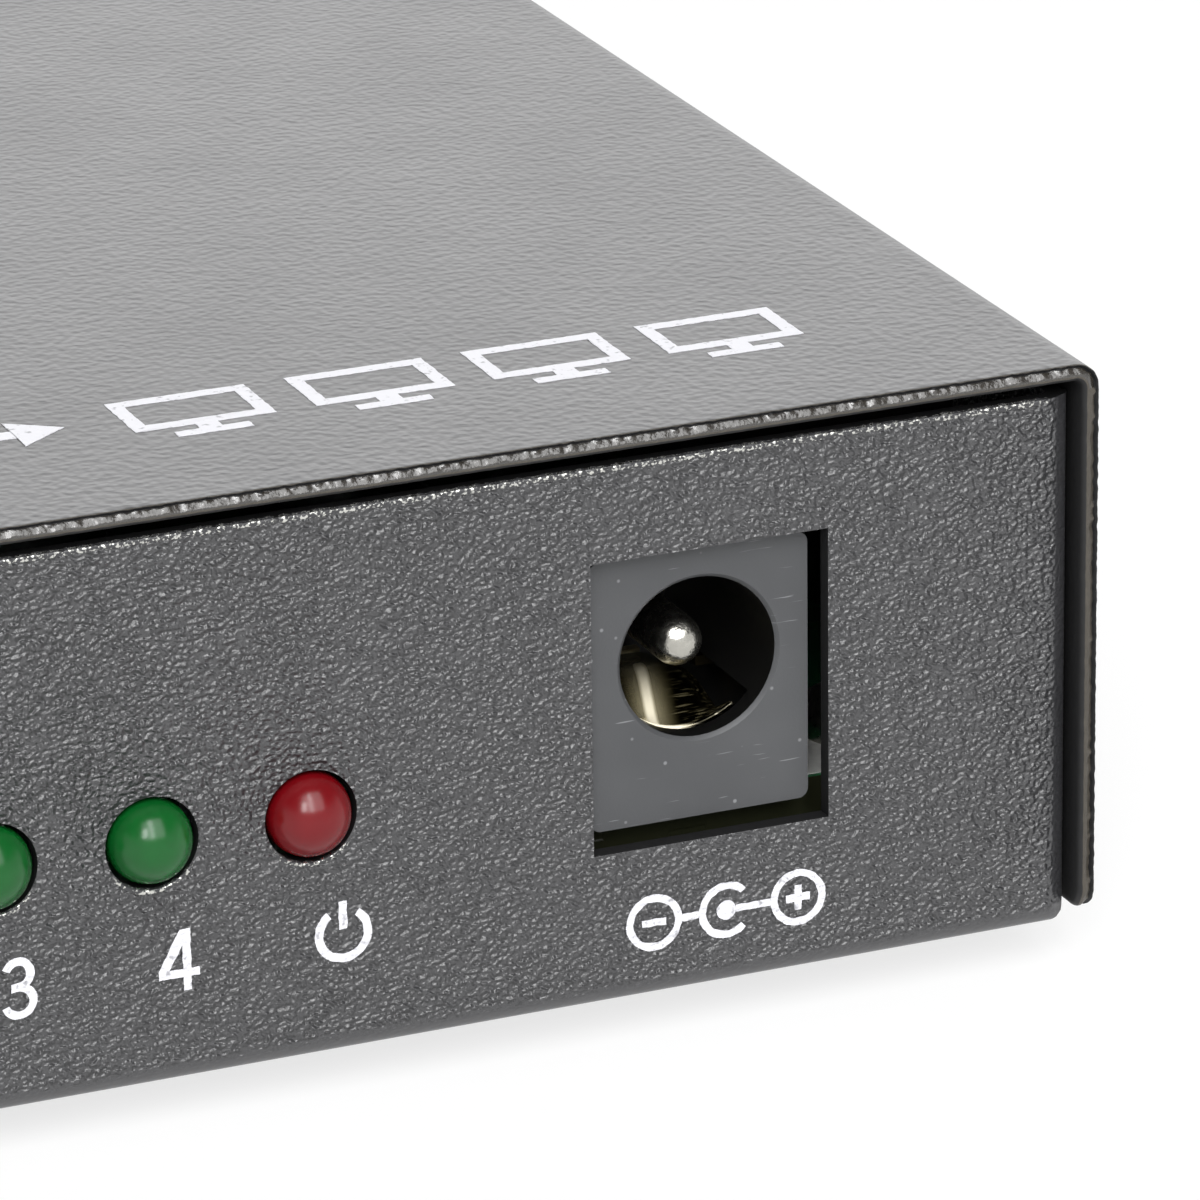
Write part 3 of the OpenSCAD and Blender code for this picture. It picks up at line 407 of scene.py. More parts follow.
swept = add(
    tree,
    "GeometryNodeCurveToMesh",
    {
        "Curve": steps.outputs[0],
        "Profile Curve": section.outputs[0],
        "Scale": swollen_r.outputs[0],
        "Fill Caps": True,
    },
)
real = add(tree, "GeometryNodeRealizeInstances", {0: swept.outputs[0]})
painted = add(tree, "GeometryNodeSetMaterial", {"Geometry": real.outputs[0], "Material": given["Finish"]})
add(tree, "NodeGroupOutput", {0: painted.outputs[0]})
beads = bpy.data.objects.new("panel_beads", edges)
scene.collection.objects.link(beads)
step = beads.modifiers.new("paint_beads", "NODES")
step.node_group = tree
step[spacing.identifier] = 0.12 * MM
step[lump.identifier] = 0.3 * MM
step[finish.identifier] = rim_paint
beads.data = plain_mesh(beads, "panel_beads")
beads.modifiers.clear()
beads.data.shade_smooth()
fit(beads, [rim_paint])


# Rubber feet
# Four moulded rubber discs stuck under the base, drawn in towards the floor, with a ring pressed into the
# tread.
def arc(centre, radius, start, end, steps):
    """Points of an arc in a section drawing, between two angles in degrees."""
    angles = [math.radians(start + (end - start) * n / steps) for n in range(steps + 1)]
    return [(centre[0] + radius * math.cos(a), centre[1] + radius * math.sin(a)) for a in angles]


def turned(outline, steps):
    """A solid turned about Z from an outline of radii and heights that starts and ends on the axis."""
    shape = bmesh.new()
    ring = [shape.verts.new((radius, 0, height)) for radius, height in outline]
    edges = [shape.edges.new(pair) for pair in zip(ring, ring[1:])]
    bmesh.ops.spin(shape, geom=ring + edges, axis=(0, 0, 1), angle=math.tau, steps=steps, use_merge=True)
    bmesh.ops.remove_doubles(shape, verts=shape.verts, dist=0.0005 * MM)
    bmesh.ops.recalc_face_normals(shape, faces=shape.faces)
    return shape


def copies_at(name, pattern, places, turns, finish):
    """Copies of a pattern, set at places by a node tree and turned by each place's own Euler angles."""
    points = bpy.data.meshes.new(name)
    points.from_pydata(places, [], [])
    turn = points.attributes.new("turn", "FLOAT_VECTOR", "POINT")
    turn.data.foreach_set("vector", [v for t in turns for v in t])
    tree = bpy.data.node_groups.new(name, "GeometryNodeTree")
    tree.interface.new_socket("Geometry", in_out="INPUT", socket_type="NodeSocketGeometry")
    wanted = tree.interface.new_socket("Pattern", in_out="INPUT", socket_type="NodeSocketObject")
    coated = tree.interface.new_socket("Finish", in_out="INPUT", socket_type="NodeSocketMaterial")
    tree.interface.new_socket("Geometry", in_out="OUTPUT", socket_type="NodeSocketGeometry")
    given = add(tree, "NodeGroupInput").outputs
    one = add(tree, "GeometryNodeObjectInfo", {"Object": given["Pattern"]})
    angles = add(tree, "GeometryNodeInputNamedAttribute", {"Name": "turn"}, data_type="FLOAT_VECTOR")
    turned_by = add(tree, "FunctionNodeEulerToRotation", {0: angles.outputs[0]})
    marks = add(tree, "GeometryNodeMeshToPoints", {"Mesh": given["Geometry"]})
    copies = add(
        tree,
        "GeometryNodeInstanceOnPoints",
        {"Points": marks.outputs[0], "Instance": one.outputs["Geometry"], "Rotation": turned_by.outputs[0]},
    )
    real = add(tree, "GeometryNodeRealizeInstances", {0: copies.outputs[0]})
    finished = add(
        tree, "GeometryNodeSetMaterial", {"Geometry": real.outputs[0], "Material": given["Finish"]}
    )
    add(tree, "NodeGroupOutput", {0: finished.outputs[0]})
    piece = bpy.data.objects.new(name, points)
    scene.collection.objects.link(piece)
    step = piece.modifiers.new(name, "NODES")
    step.node_group = tree
    step[wanted.identifier] = pattern
    step[coated.identifier] = finish
    piece.data = plain_mesh(piece, name)
    piece.modifiers.clear()
    bpy.data.objects.remove(pattern)
    return piece


# Moulded rubber: black, dull, with a fine chalky bloom.
rubber = grained("moulded_rubber", "#242424", "#151515", 0.25 * MM, (0.6, 0.8), relief=0.01 * MM)
feet = [f"rubber_foot_{n}" for n in (1, 2, 3, 4)]
low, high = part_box(feet[0])
foot_r = (high.x - low.x) / 2
foot_h = high.z - low.z
draft, lip, ring_r, ring_deep = 0.3 * MM, 0.4 * MM, 2.0 * MM, 0.25 * MM
tread_r = foot_r - draft
outline = [(0, 0), (ring_r - ring_deep, 0)]
outline += [(ring_r, ring_deep), (ring_r + ring_deep, 0)]
outline += arc((tread_r - lip, lip), lip, -90, 0, 6)
outline += [(foot_r, foot_h), (0, foot_h)]
foot = piece_from(turned(outline, 48), "foot")
centres = [sum(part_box(n), Vector()) / 2 for n in feet]
feet_set = copies_at("feet", foot, [(c.x, c.y, 0) for c in centres], [(0, 0, 0)] * 4, rubber)
feet_set.data.shade_smooth()
feet_set.data.set_sharp_from_angle(angle=math.radians(35))
fit(feet_set, [rubber], feet)


# Circuit board
# Glass epoxy with green solder mask over copper tracks, its edges routed bare. It sits on four plated
# standoffs that are pressed into the base, with a screw in each.
def dress(finish, *names):
    """Gives CAD nodes whose shape is right their finish."""
    for name in names:
        nodes[name].data.materials.clear()
        nodes[name].data.materials.append(finish)


# Solder mask: a glossy green lacquer, paler where it lies over copper. The routed edges are drawn dark olive
# as painted shade.
mask = bpy.data.materials.new("solder_mask")
mask.use_nodes = True
tree = mask.node_tree
shader = tree.nodes["Principled BSDF"]
coords = add(tree, "ShaderNodeTexCoord").outputs
tracks = add(
    tree,
    "ShaderNodeTexVoronoi",
    {"Vector": coords["Object"], "Scale": 1 / (2.2 * MM)},
    feature="F1",
    distance="CHEBYCHEV",
)
over_copper = add(
    tree, "ShaderNodeMapRange", {"Value": tracks.outputs["Distance"], "From Min": 0.32, "From Max": 0.36}
)
green = add(
    tree,
    "ShaderNodeMix",
    {"Factor": over_copper.outputs[0], 6: linear("#12452b"), 7: linear("#1f6a40")},
    data_type="RGBA",
)
upright = add(tree, "ShaderNodeSeparateXYZ", {0: coords["Normal"]})
flat = add(tree, "ShaderNodeMath", {0: upright.outputs["Z"]}, operation="ABSOLUTE")
# Painted shade: faces that are not level, the routed edges, are drawn dark olive
chips_and_edge_shade = add(tree, "ShaderNodeMath", {0: flat.outputs[0], 1: 0.7}, operation="LESS_THAN")
edge = add(
    tree,
    "ShaderNodeMix",
    {"Factor": chips_and_edge_shade.outputs[0], 6: green.outputs[2], 7: linear("#2a2c1e")},
    data_type="RGBA",
)
lift = add(tree, "ShaderNodeBump", {"Strength": 1.0, "Distance": 0.03 * MM, "Height": over_copper.outputs[0]})
tree.links.new(edge.outputs[2], shader.inputs["Base Color"])
tree.links.new(lift.outputs[0], shader.inputs["Normal"])
shader.inputs["Roughness"].default_value = 0.28
fit(rounded_copy("main_board", "board", 0.06 * MM), [mask], ["main_board"])

# Nickel plate: bright, a little yellow, with the turning marks still in it.
nickel = grained("nickel_plate", "#cfcdc6", "#b4b2ab", 0.25 * MM, (0.22, 0.38), 1.0, 0.006 * MM)
dress(nickel, "board_standoffs", "board_screws")

# Painted pool of light: a pale sheet on the board beside the jack, shaped like the light that falls in
# through the gap, with its slanted side along the edge of the jack's shadow.
painted_light_sheet = grained("painted_pool_of_light", "#f4f4f0", "#d4d4d0", 0.5 * MM, (0.35, 0.5), 0.0, 0.03 * MM)
board_low, board_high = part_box("main_board")
# The outline follows the lit area, and its slanted side is the shadow's edge
lit_patch_outline = [(49.42, -28.74), (50.84, -25.63), (53.4, -21.36)]
lit_patch_outline += [(56.4, -21.36), (56.4, -29.05), (49.28, -29.05)]
lit_patch_t = 0.04 * MM
shape = bmesh.new()
shape.faces.new([shape.verts.new((x * MM, y * MM, board_high.z)) for x, y in lit_patch_outline])
risen = bmesh.ops.extrude_face_region(shape, geom=shape.faces[:])["geom"]
bmesh.ops.translate(shape, verts=[v for v in risen if isinstance(v, bmesh.types.BMVert)], vec=(0, 0, lit_patch_t))
bmesh.ops.recalc_face_normals(shape, faces=shape.faces)
fit(piece_from(shape, "ground_patch"), [painted_light_sheet])

# Parts on the board
# Surface-mounted packages, an inductor, two aluminium can capacitors, a crystal and a row of ceramic chip
# capacitors, all soldered down by tinned leads.
# Moulded epoxy of the packages: black, satin, with a fine spark-eroded grain.
epoxy = grained("moulded_epoxy", "#232324", "#171718", 0.12 * MM, (0.45, 0.6), relief=0.008 * MM)
dress(epoxy, "splitter_chip", "control_chip", "voltage_regulator", "capacitor_bases")
# Tinned copper alloy: dull silver, smeared along the lead.
tinned = grained("tinned_copper", "#cacac6", "#a9a9a5", 0.2 * MM, (0.25, 0.45), 1.0, 0.004 * MM)
dress(tinned, "splitter_chip_leads", "control_chip_leads", "regulator_leads", "led_leads")
dress(grained("nickel_can", "#cbcbc8", "#b8b8b5", 0.3 * MM, (0.25, 0.4), 1.0), "clock_crystal")
ferrite = grained("sintered_ferrite", "#3d3d40", "#2a2a2c", 0.15 * MM, (0.6, 0.8), relief=0.01 * MM)
dress(ferrite, "power_inductor")
dress(grained("drawn_aluminium", "#d4d5d8", "#bdbec1", 0.3 * MM, (0.3, 0.45), 1.0), "capacitor_cans")
dress(grained("fired_ceramic", "#a58a64", "#8a7150", 0.3 * MM, (0.5, 0.65)), "chip_capacitors")

# Video sockets
# Pressed steel shells with a soldered seam and spring fingers, a black nylon insert with a tongue, and
# nineteen gold-flashed contacts on it. One looks out of the front panel and four out of the rear one.
# Nickel-plated pressed steel: bright, faintly drawn along the pressing.
shell_plate = grained("nickel_plated_steel", "#d0d0cc", "#b6b6b2", 0.35 * MM, (0.2, 0.34), 1.0, 0.008 * MM)
# Glass-filled nylon: black and satin.
nylon = grained("glass_filled_nylon", "#1d1d1e", "#121213", 0.15 * MM, (0.4, 0.55), relief=0.008 * MM)
gold = grained("gold_flash", "#d9b45c", "#bf9742", 0.15 * MM, (0.18, 0.3), 1.0)
for socket in ["input"] + [f"output_{n}" for n in (1, 2, 3, 4)]:
    side, _, number = socket.partition("_")
    ending = f"_{number}" if number else ""
    shell, insert, contacts = (f"{side}_{part}{ending}" for part in ("shell", "insert", "contacts"))
    fit(rounded_copy(shell, f"{socket}_pressed_shell", 0.05 * MM), [shell_plate], [shell])
    fit(rounded_copy(insert, f"{socket}_moulded_insert", 0.06 * MM), [nylon], [insert])
    dress(gold, contacts)

# DC jack
# A black moulded housing with a square face and a round bore, a turned pin riveted into its back wall, and
# a curved spring leaf under the pin that grips the plug.
# Moulding of the face: the black plastic is painted grey as a painted sheen of the light on its satin face,
# with a few scuffs and specks.
face_painted_sheen = bpy.data.materials.new("moulding_with_painted_sheen")
face_painted_sheen.use_nodes = True
tree = face_painted_sheen.node_tree
shader = tree.nodes["Principled BSDF"]
place = add(tree, "ShaderNodeTexCoord").outputs["Object"]
etch = add(tree, "ShaderNodeTexNoise", {"Vector": place, "Scale": 1 / (0.12 * MM), "Detail": 2.0})
cloud = add(tree, "ShaderNodeTexNoise", {"Vector": place, "Scale": 1 / (4 * MM), "Detail": 2.0})
along = add(tree, "ShaderNodeMapping", {"Vector": place, "Rotation": (0, 0.5, 0), "Scale": (1.0, 1.0, 14.0)})
hairs = add(tree, "ShaderNodeTexNoise", {"Vector": along.outputs[0], "Scale": 1 / (1.6 * MM), "Detail": 1.0})
scuffs = add(tree, "ShaderNodeMapRange", {"Value": hairs.outputs["Fac"], "From Min": 0.74, "From Max": 0.80})
dots = add(tree, "ShaderNodeTexVoronoi", {"Vector": place, "Scale": 1 / (1.1 * MM)}, feature="F1")
specks = add(
    tree,
    "ShaderNodeMapRange",
    {"Value": dots.outputs["Distance"], "From Min": 0.05, "From Max": 0.09, "To Min": 1.0, "To Max": 0.0},
)
marks = add(tree, "ShaderNodeMath", {0: scuffs.outputs[0], 1: specks.outputs[0]}, operation="MAXIMUM")
# Painted sheen: the face's clouded grey stands for light on the black satin plastic
tone = add(
    tree,
    "ShaderNodeMix",
    {"Factor": cloud.outputs["Fac"], 6: linear("#3c3d3f"), 7: linear("#4b4c4e")},
    data_type="RGBA",
)
worn = add(
    tree,
    "ShaderNodeMix",
    {"Factor": marks.outputs[0], 6: tone.outputs[2], 7: linear("#77787a")},
    data_type="RGBA",
)
bump = add(tree, "ShaderNodeBump", {"Strength": 1.0, "Distance": 0.006 * MM, "Height": etch.outputs["Fac"]})
tree.links.new(worn.outputs[2], shader.inputs["Base Color"])
tree.links.new(bump.outputs[0], shader.inputs["Normal"])
shader.inputs["Roughness"].default_value = 0.5
# The bore and the rest of the housing keep the plastic's own black, without the face's painted sheen.
black_moulding = grained("polished_moulding", "#101010", "#0b0b0b", 0.4 * MM, (0.3, 0.4))
housing = rounded_copy("jack_housing", "jack_body", 0.12 * MM)
face_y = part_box("jack_housing")[0].y
for polygon in housing.data.polygons:
    on_face = polygon.center.y < face_y + 0.14 * MM
    polygon.material_index = 0 if on_face else 1
fit(housing, [face_painted_sheen, black_moulding], ["jack_housing"])

# Nickel-plated brass of the pin: bright, with turning marks round it and a rubbed tip.
pin_metal = grained("nickel_plated_brass", "#d2d0c8", "#a5a39b", 0.5 * MM, (0.2, 0.34), 1.0, 0.08 * MM)
low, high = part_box("jack_centre_pin")
pin_x, pin_z = (low.x + high.x) / 2, (low.z + high.z) / 2
pin_r = (high.x - low.x) / 2
bore_end, rivet_r, tip_round = 10.0 * MM, 0.8 * MM, 0.95 * MM
back_wall = face_y + bore_end - low.y
outline = [(0, 0)] + arc((pin_r - tip_round, tip_round), tip_round, -90, 0, 10)
outline += [(pin_r, back_wall), (rivet_r, back_wall), (rivet_r, high.y - low.y), (0, high.y - low.y)]
shape = turned(outline, 64)
to_jack = Matrix.Translation((pin_x, low.y, pin_z)) @ Matrix.Rotation(-math.pi / 2, 4, "X")
bmesh.ops.transform(shape, matrix=to_jack, verts=shape.verts)
pin = piece_from(shape, "turned_pin")
pin.data.shade_smooth()
pin.data.set_sharp_from_angle(angle=math.radians(35))
fit(pin, [pin_metal], ["jack_centre_pin"])

# Spring brass with a thin nickel wash: smooth, so it mirrors the dark bore, with fine scratches behind the
# lip.
# A pale streak along it, with a softer halo, is a painted highlight. The lip's front is painted pale in its
# middle as a painted reflection, and dark at its right end as painted shade. The map "length" runs along and
# across it in bore depths.
leaf_metal = bpy.data.materials.new("washed_spring_brass")
leaf_metal.use_nodes = True
tree = leaf_metal.node_tree
shader = tree.nodes["Principled BSDF"]
place = add(tree, "ShaderNodeTexCoord").outputs["Object"]
# Painted highlight: a pale streak slanting along the leaf, fading out further in
streak_start, streak_slant, streak_w, streak_end = -0.125, 0.3, 0.04, 0.6
length_map = add(tree, "ShaderNodeUVMap", uv_map="length").outputs[0]
on_leaf = add(tree, "ShaderNodeSeparateXYZ", {0: length_map}).outputs
slant = add(
    tree,
    "ShaderNodeMath",
    {0: on_leaf["X"], 1: streak_slant, 2: streak_start},
    operation="MULTIPLY_ADD",
)
aside = add(tree, "ShaderNodeMath", {0: on_leaf["Y"], 1: slant.outputs[0]}, operation="SUBTRACT")
off = add(tree, "ShaderNodeMath", {0: aside.outputs[0]}, operation="ABSOLUTE")
streak_core = add(
    tree,
    "ShaderNodeMapRange",
    {"Value": off.outputs[0], "From Min": 0.2 * streak_w, "From Max": streak_w, "To Min": 1.0, "To Max": 0.0},
    interpolation_type="SMOOTHSTEP",
)
fading = add(
    tree,
    "ShaderNodeMapRange",
    {
        "Value": on_leaf["X"],
        "From Min": 0.75 * streak_end,
        "From Max": streak_end,
        "To Min": 1.0,
        "To Max": 0.0,
    },
)
along = add(tree, "ShaderNodeMapping", {"Vector": place, "Scale": (1.0, 9.0, 9.0), "Rotation": (0, 0, 0.5)})
hairs = add(tree, "ShaderNodeTexNoise", {"Vector": along.outputs[0], "Scale": 1 / (1.0 * MM), "Detail": 2.0})
scratch = add(tree, "ShaderNodeMapRange", {"Value": hairs.outputs["Fac"], "From Min": 0.56, "From Max": 0.68})
streak_halo = add(
    tree,
    "ShaderNodeMapRange",
    {"Value": off.outputs[0], "From Max": 3 * streak_w, "To Min": 0.4, "To Max": 0.0},
    interpolation_type="SMOOTHSTEP",
)
streak_glow = add(tree, "ShaderNodeMath", {0: streak_core.outputs[0], 1: streak_halo.outputs[0]}, operation="MAXIMUM")
painted_streak = add(tree, "ShaderNodeMath", {0: streak_glow.outputs[0], 1: fading.outputs[0]}, operation="MULTIPLY")
faint = add(tree, "ShaderNodeMath", {0: scratch.outputs[0], 1: 0.16}, operation="MULTIPLY")
worn = add(tree, "ShaderNodeMath", {0: painted_streak.outputs[0], 1: faint.outputs[0]}, operation="MAXIMUM")
lip = add(
    tree,
    "ShaderNodeMapRange",
    {"Value": on_leaf["X"], "From Min": 0.008, "From Max": 0.02, "To Min": 1.0, "To Max": 0.0},
)
# Painted reflection and shade on the lip: its middle is pale, its right end dark
right = add(tree, "ShaderNodeMapRange", {"Value": on_leaf["Y"], "From Min": -0.02, "From Max": 0.05})
painted_lip_shade = add(tree, "ShaderNodeMath", {0: lip.outputs[0], 1: right.outputs[0]}, operation="MULTIPLY")
painted_lip_glint = add(tree, "ShaderNodeMath", {0: lip.outputs[0], 1: painted_lip_shade.outputs[0]}, operation="SUBTRACT")
bright = add(tree, "ShaderNodeMath", {0: worn.outputs[0], 1: painted_lip_glint.outputs[0]}, operation="MAXIMUM")
pale = bright.outputs[0]
# The brass turns dark at the lip's right end: painted shade
brass = add(
    tree,
    "ShaderNodeMix",
    {"Factor": painted_lip_shade.outputs[0], 6: linear("#a89c6c"), 7: linear("#2c2a22")},
    data_type="RGBA",
)
tone = add(
    tree, "ShaderNodeMix", {"Factor": pale, 6: brass.outputs[2], 7: linear("#fff6dc")}, data_type="RGBA"
)
dull = add(tree, "ShaderNodeMapRange", {"Value": pale, "To Min": 0.14, "To Max": 0.5})
plain = add(tree, "ShaderNodeMapRange", {"Value": pale, "To Min": 1.0, "To Max": 0.0})
bump = add(tree, "ShaderNodeBump", {"Strength": 1.0, "Distance": 0.01 * MM, "Height": hairs.outputs["Fac"]})
tree.links.new(tone.outputs[2], shader.inputs["Base Color"])
tree.links.new(dull.outputs[0], shader.inputs["Roughness"])
tree.links.new(plain.outputs[0], shader.inputs["Metallic"])
tree.links.new(bump.outputs[0], shader.inputs["Normal"])
low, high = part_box("jack_contact_leaf")
leaf_w, leaf_front, leaf_root = high.x - low.x, low.y, high.y
leaf_crest, leaf_t = face_y + 5.4 * MM, 0.25 * MM
mouth_r, crest_r, root_r = 3.25 * MM, 2.45 * MM, 3.0 * MM
lip_dish, lip_len, edge_roll, roll_w = 0.7 * MM, 1.6 * MM, 0.35 * MM, 0.9 * MM
leaf_edge_r = 0.09 * MM


def eased(a, b, t):
    """A smooth step from a to b."""
    return a + (b - a) * (1 - math.cos(math.pi * min(1, t))) / 2


def leaf_height(x, y):
    """Height of the leaf's upper face over the jack's axis: a dished free end, edges rolled down behind."""
    if y < leaf_crest:
        middle = eased(mouth_r, crest_r, (y - leaf_front) / (leaf_crest - leaf_front))
    else:
        middle = eased(crest_r, root_r, (y - leaf_crest) / (leaf_root - leaf_crest))
    dish = eased(1, 0, (y - leaf_front) / lip_len)
    roll = max(0, 1 - (leaf_w / 2 - abs(x)) / roll_w)
    return dish * lip_dish * (2 * x / leaf_w) ** 2 - (1 - dish) * edge_roll * roll**2 - middle


shape = bmesh.new()
across_steps, length_steps = 32, 60
rows = []
for n in range(length_steps + 1):
    y = leaf_front + (leaf_root - leaf_front) * n / length_steps
    row = [leaf_w * (m / across_steps - 0.5) for m in range(across_steps + 1)]
    rows.append([shape.verts.new((pin_x + x, y, pin_z + leaf_height(x, y))) for x in row])
grip_map = shape.loops.layers.uv.new("length")
for a, b in zip(rows, rows[1:]):
    for quad in zip(a, a[1:], b[1:], b):
        for loop in shape.faces.new(quad).loops:
            at = loop.vert.co
            loop[grip_map].uv = ((at.y - leaf_front) / bore_end, (at.x - pin_x) / bore_end)
leaf = piece_from(shape, "spring_leaf")
leaf.data.shade_smooth()
wall = leaf.modifiers.new("sheet", "SOLIDIFY")
wall.thickness = leaf_t
rim = leaf.modifiers.new("rim", "BEVEL")
rim.width = leaf_edge_r
rim.segments = 2
rim.angle_limit = math.radians(60)
rim.harden_normals = True
leaf.data = plain_mesh(leaf, "spring_leaf")
leaf.modifiers.clear()
fit(leaf, [leaf_metal], ["jack_contact_leaf"], body="contact_leaf")
terminal_metal = grained("washed_brass", "#d8ceab", "#b5aa84", 0.3 * MM, (0.25, 0.4), 1.0)
dress(terminal_metal, "jack_leaf_terminal")
# The switch terminal is drawn in a dark brown brass
dress(grained("dark_brown_brass", "#4a4330", "#332e21", 0.3 * MM, (0.4, 0.55), 1.0), "jack_switch_terminal")
dress(pin_metal, "jack_pin_terminal")


# Indicator lamps
# Round lamps cast in tinted epoxy with a domed end and a rim at the back, on two leads each. They stand in
# plain punched holes: four green ones for the outputs and a red one for power.
def epoxy_lens(name, deep, pale):
    """Tinted diffusing epoxy: glossy, and cloudy enough that light spreads about a millimetre inside it."""
    made = bpy.data.materials.new(name)
    made.use_nodes = True
    tree = made.node_tree
    shader = tree.nodes["Principled BSDF"]
    place = add(tree, "ShaderNodeTexCoord").outputs["Object"]
    cloud = add(tree, "ShaderNodeTexNoise", {"Vector": place, "Scale": 1 / (1.2 * MM), "Detail": 2.0})
    tone = add(
        tree,
        "ShaderNodeMix",
        {"Factor": cloud.outputs["Fac"], 6: linear(deep), 7: linear(pale)},
        data_type="RGBA",
    )
    tree.links.new(tone.outputs[2], shader.inputs["Base Color"])
    shader.inputs["Subsurface Weight"].default_value = 0.2
    shader.inputs["Subsurface Radius"].default_value = (1.0, 1.0, 1.0)
    shader.inputs["Subsurface Scale"].default_value = 0.7 * MM
    shader.inputs["Roughness"].default_value = 0.22
    shader.inputs["Specular IOR Level"].default_value = 0.42
    return made


green_epoxy = epoxy_lens("green_diffusing_epoxy", "#064a1a", "#0a561f")
red_epoxy = epoxy_lens("red_diffusing_epoxy", "#62060c", "#6e0810")
lamps = [(f"output_led_{n}", "green_lens", green_epoxy) for n in (1, 2, 3, 4)]
lamps.append(("power_led", "red_lens", red_epoxy))
rim_w, rim_t, rim_round = 0.3 * MM, 1.0 * MM, 0.1 * MM
for node, slot, finish in lamps:
    low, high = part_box(node)
    rim_r = (high.x - low.x) / 2
    lens_r = rim_r - rim_w
    length = high.y - low.y
    outline = arc((0, lens_r), lens_r, -90, 0, 16)
    outline += [(lens_r, length - rim_t), (rim_r - rim_round, length - rim_t)]
    outline += arc((rim_r - rim_round, length - rim_t + rim_round), rim_round, -90, 0, 3)
    outline += [(rim_r, length), (0, length)]
    shape = turned(outline, 64)
    to_panel = Matrix.Translation(((low.x + high.x) / 2, low.y, (low.z + high.z) / 2))
    bmesh.ops.transform(shape, matrix=to_panel @ Matrix.Rotation(-math.pi / 2, 4, "X"), verts=shape.verts)
    lens = piece_from(shape, f"{node}_lens")
    lens.data.shade_smooth()
    lens.data.set_sharp_from_angle(angle=math.radians(35))
    fit(lens, [finish], [node])

# Top cover
# One steel sheet folded down at both sides, over the chassis. Its cut edges keep a burr at the outer
# corner, and the powder draws back from it into a thick uneven bead along the middle of the edge.
# Paint over the cut edge: the same powder, but thicker, browner, glossy and lumpy instead of wrinkled.
bead_paint = bpy.data.materials.new("powder_bead")
bead_paint.use_nodes = True
tree = bead_paint.node_tree
shader = tree.nodes["Principled BSDF"]
place = add(tree, "ShaderNodeTexCoord").outputs["Object"]
lumps = add(tree, "ShaderNodeTexNoise", {"Vector": place, "Scale": 1 / (0.22 * MM), "Detail": 2.0})
tone = add(
    tree,
    "ShaderNodeMix",
    {"Factor": lumps.outputs["Fac"], 6: linear("#1d1a16"), 7: linear("#332f29")},
    data_type="RGBA",
)
bump = add(tree, "ShaderNodeBump", {"Strength": 1.0, "Distance": 0.035 * MM, "Height": lumps.outputs["Fac"]})
tree.links.new(tone.outputs[2], shader.inputs["Base Color"])
tree.links.new(bump.outputs[0], shader.inputs["Normal"])
shader.inputs["Roughness"].default_value = 0.24
shader.inputs["IOR"].default_value = 1.58
shader.inputs["Specular IOR Level"].default_value = 1.0
# Thin paint over the rest of the cut edge: brown and satin.
thin_paint = grained("thin_powder", "#4b463e", "#35312b", 0.2 * MM, (0.35, 0.5), relief=0.03 * MM)

cover_low, cover_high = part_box("top_cover")
sheet, fold, skirt_corner = 0.7 * MM, 1.0 * MM, 1.0 * MM
upright_len = cover_high.z - fold - cover_low.z
fold_len = fold * math.pi / 2
outline_len = 2 * (upright_len + fold_len + cover_high.x - fold)


def on_cover(s):
    """Place and outward direction on the cover's outer face, at a distance along its outline."""
    if s > outline_len / 2:
        at, out = on_cover(outline_len - s)
        return Vector((-at.x, 0, at.z)), Vector((-out.x, 0, out.z))
    if s < upright_len:
        return Vector((cover_low.x, 0, cover_low.z + s)), Vector((-1, 0, 0))
    s -= upright_len
    if s < fold_len:
        a = math.pi - s / fold
        out = Vector((math.cos(a), 0, math.sin(a)))
        return Vector((cover_low.x + fold, 0, cover_high.z - fold)) + fold * out, out
    return Vector((cover_low.x + fold + s - fold_len, 0, cover_high.z)), Vector((0, 0, 1))


# The cut edge in section: distance behind the edge, depth under the outer face, and how lumpy it is there
edge_section = [
    (0.6, 0, 0),
    (0.25, 0, 0),
    (0.12, 0, 0.2),
    (0.07, 0.02, 0.4),
    (0.1, 0.06, 0.4),
    (0.19, 0.1, 0.4),
    (0.22, 0.13, 0.7),
    (0.18, 0.17, 1),
    (0.14, 0.215, 1),
    (0.1, 0.265, 1),
    (0.06, 0.32, 1),
    (0.02, 0.38, 0.9),
    (0, 0.45, 0.8),
    (0.02, 0.53, 0.7),
    (0.08, 0.61, 0.5),
    (0.17, 0.67, 0.3),
    (0.3, 0.7, 0),
    (0.7, 0.7, 0),
]
station_step, lump_size, lump_len = 0.08 * MM, 0.06 * MM, 0.5 * MM
blob_r, crease_wave, crease_len = 0.1 * MM, 0.22 * MM, 0.3 * MM
chance = random.Random(4)
blobs = []
s = 0.5 * MM
while s < outline_len:
    blobs.append((s, chance.uniform(0.1, 0.2) * MM, chance.uniform(0.05, 0.13) * MM))
    s += chance.choice((0.5, 0.6, 0.9, 1.6, 3.0, 5.0)) * MM * chance.uniform(0.8, 1.2)


def swollen(s, depth, front):
    """How far the paint stands out of the cut edge at a place along it: lumps and a few round blobs."""
    row, seed = depth / lump_len, 7 if front else 40
    broad = noise.noise((s / lump_len, row, seed))
    fine = noise.noise((3 * s / lump_len, 4 * row, seed))
    rise = lump_size * (broad + 0.3 * fine)
    for at, below, height in blobs:
        if abs(s - at) < 5 * blob_r:
            q = ((s - at) ** 2 + (depth - below) ** 2) / blob_r**2
            rise += height * (1 - q / 2) * math.exp(-q / 2)
    return rise


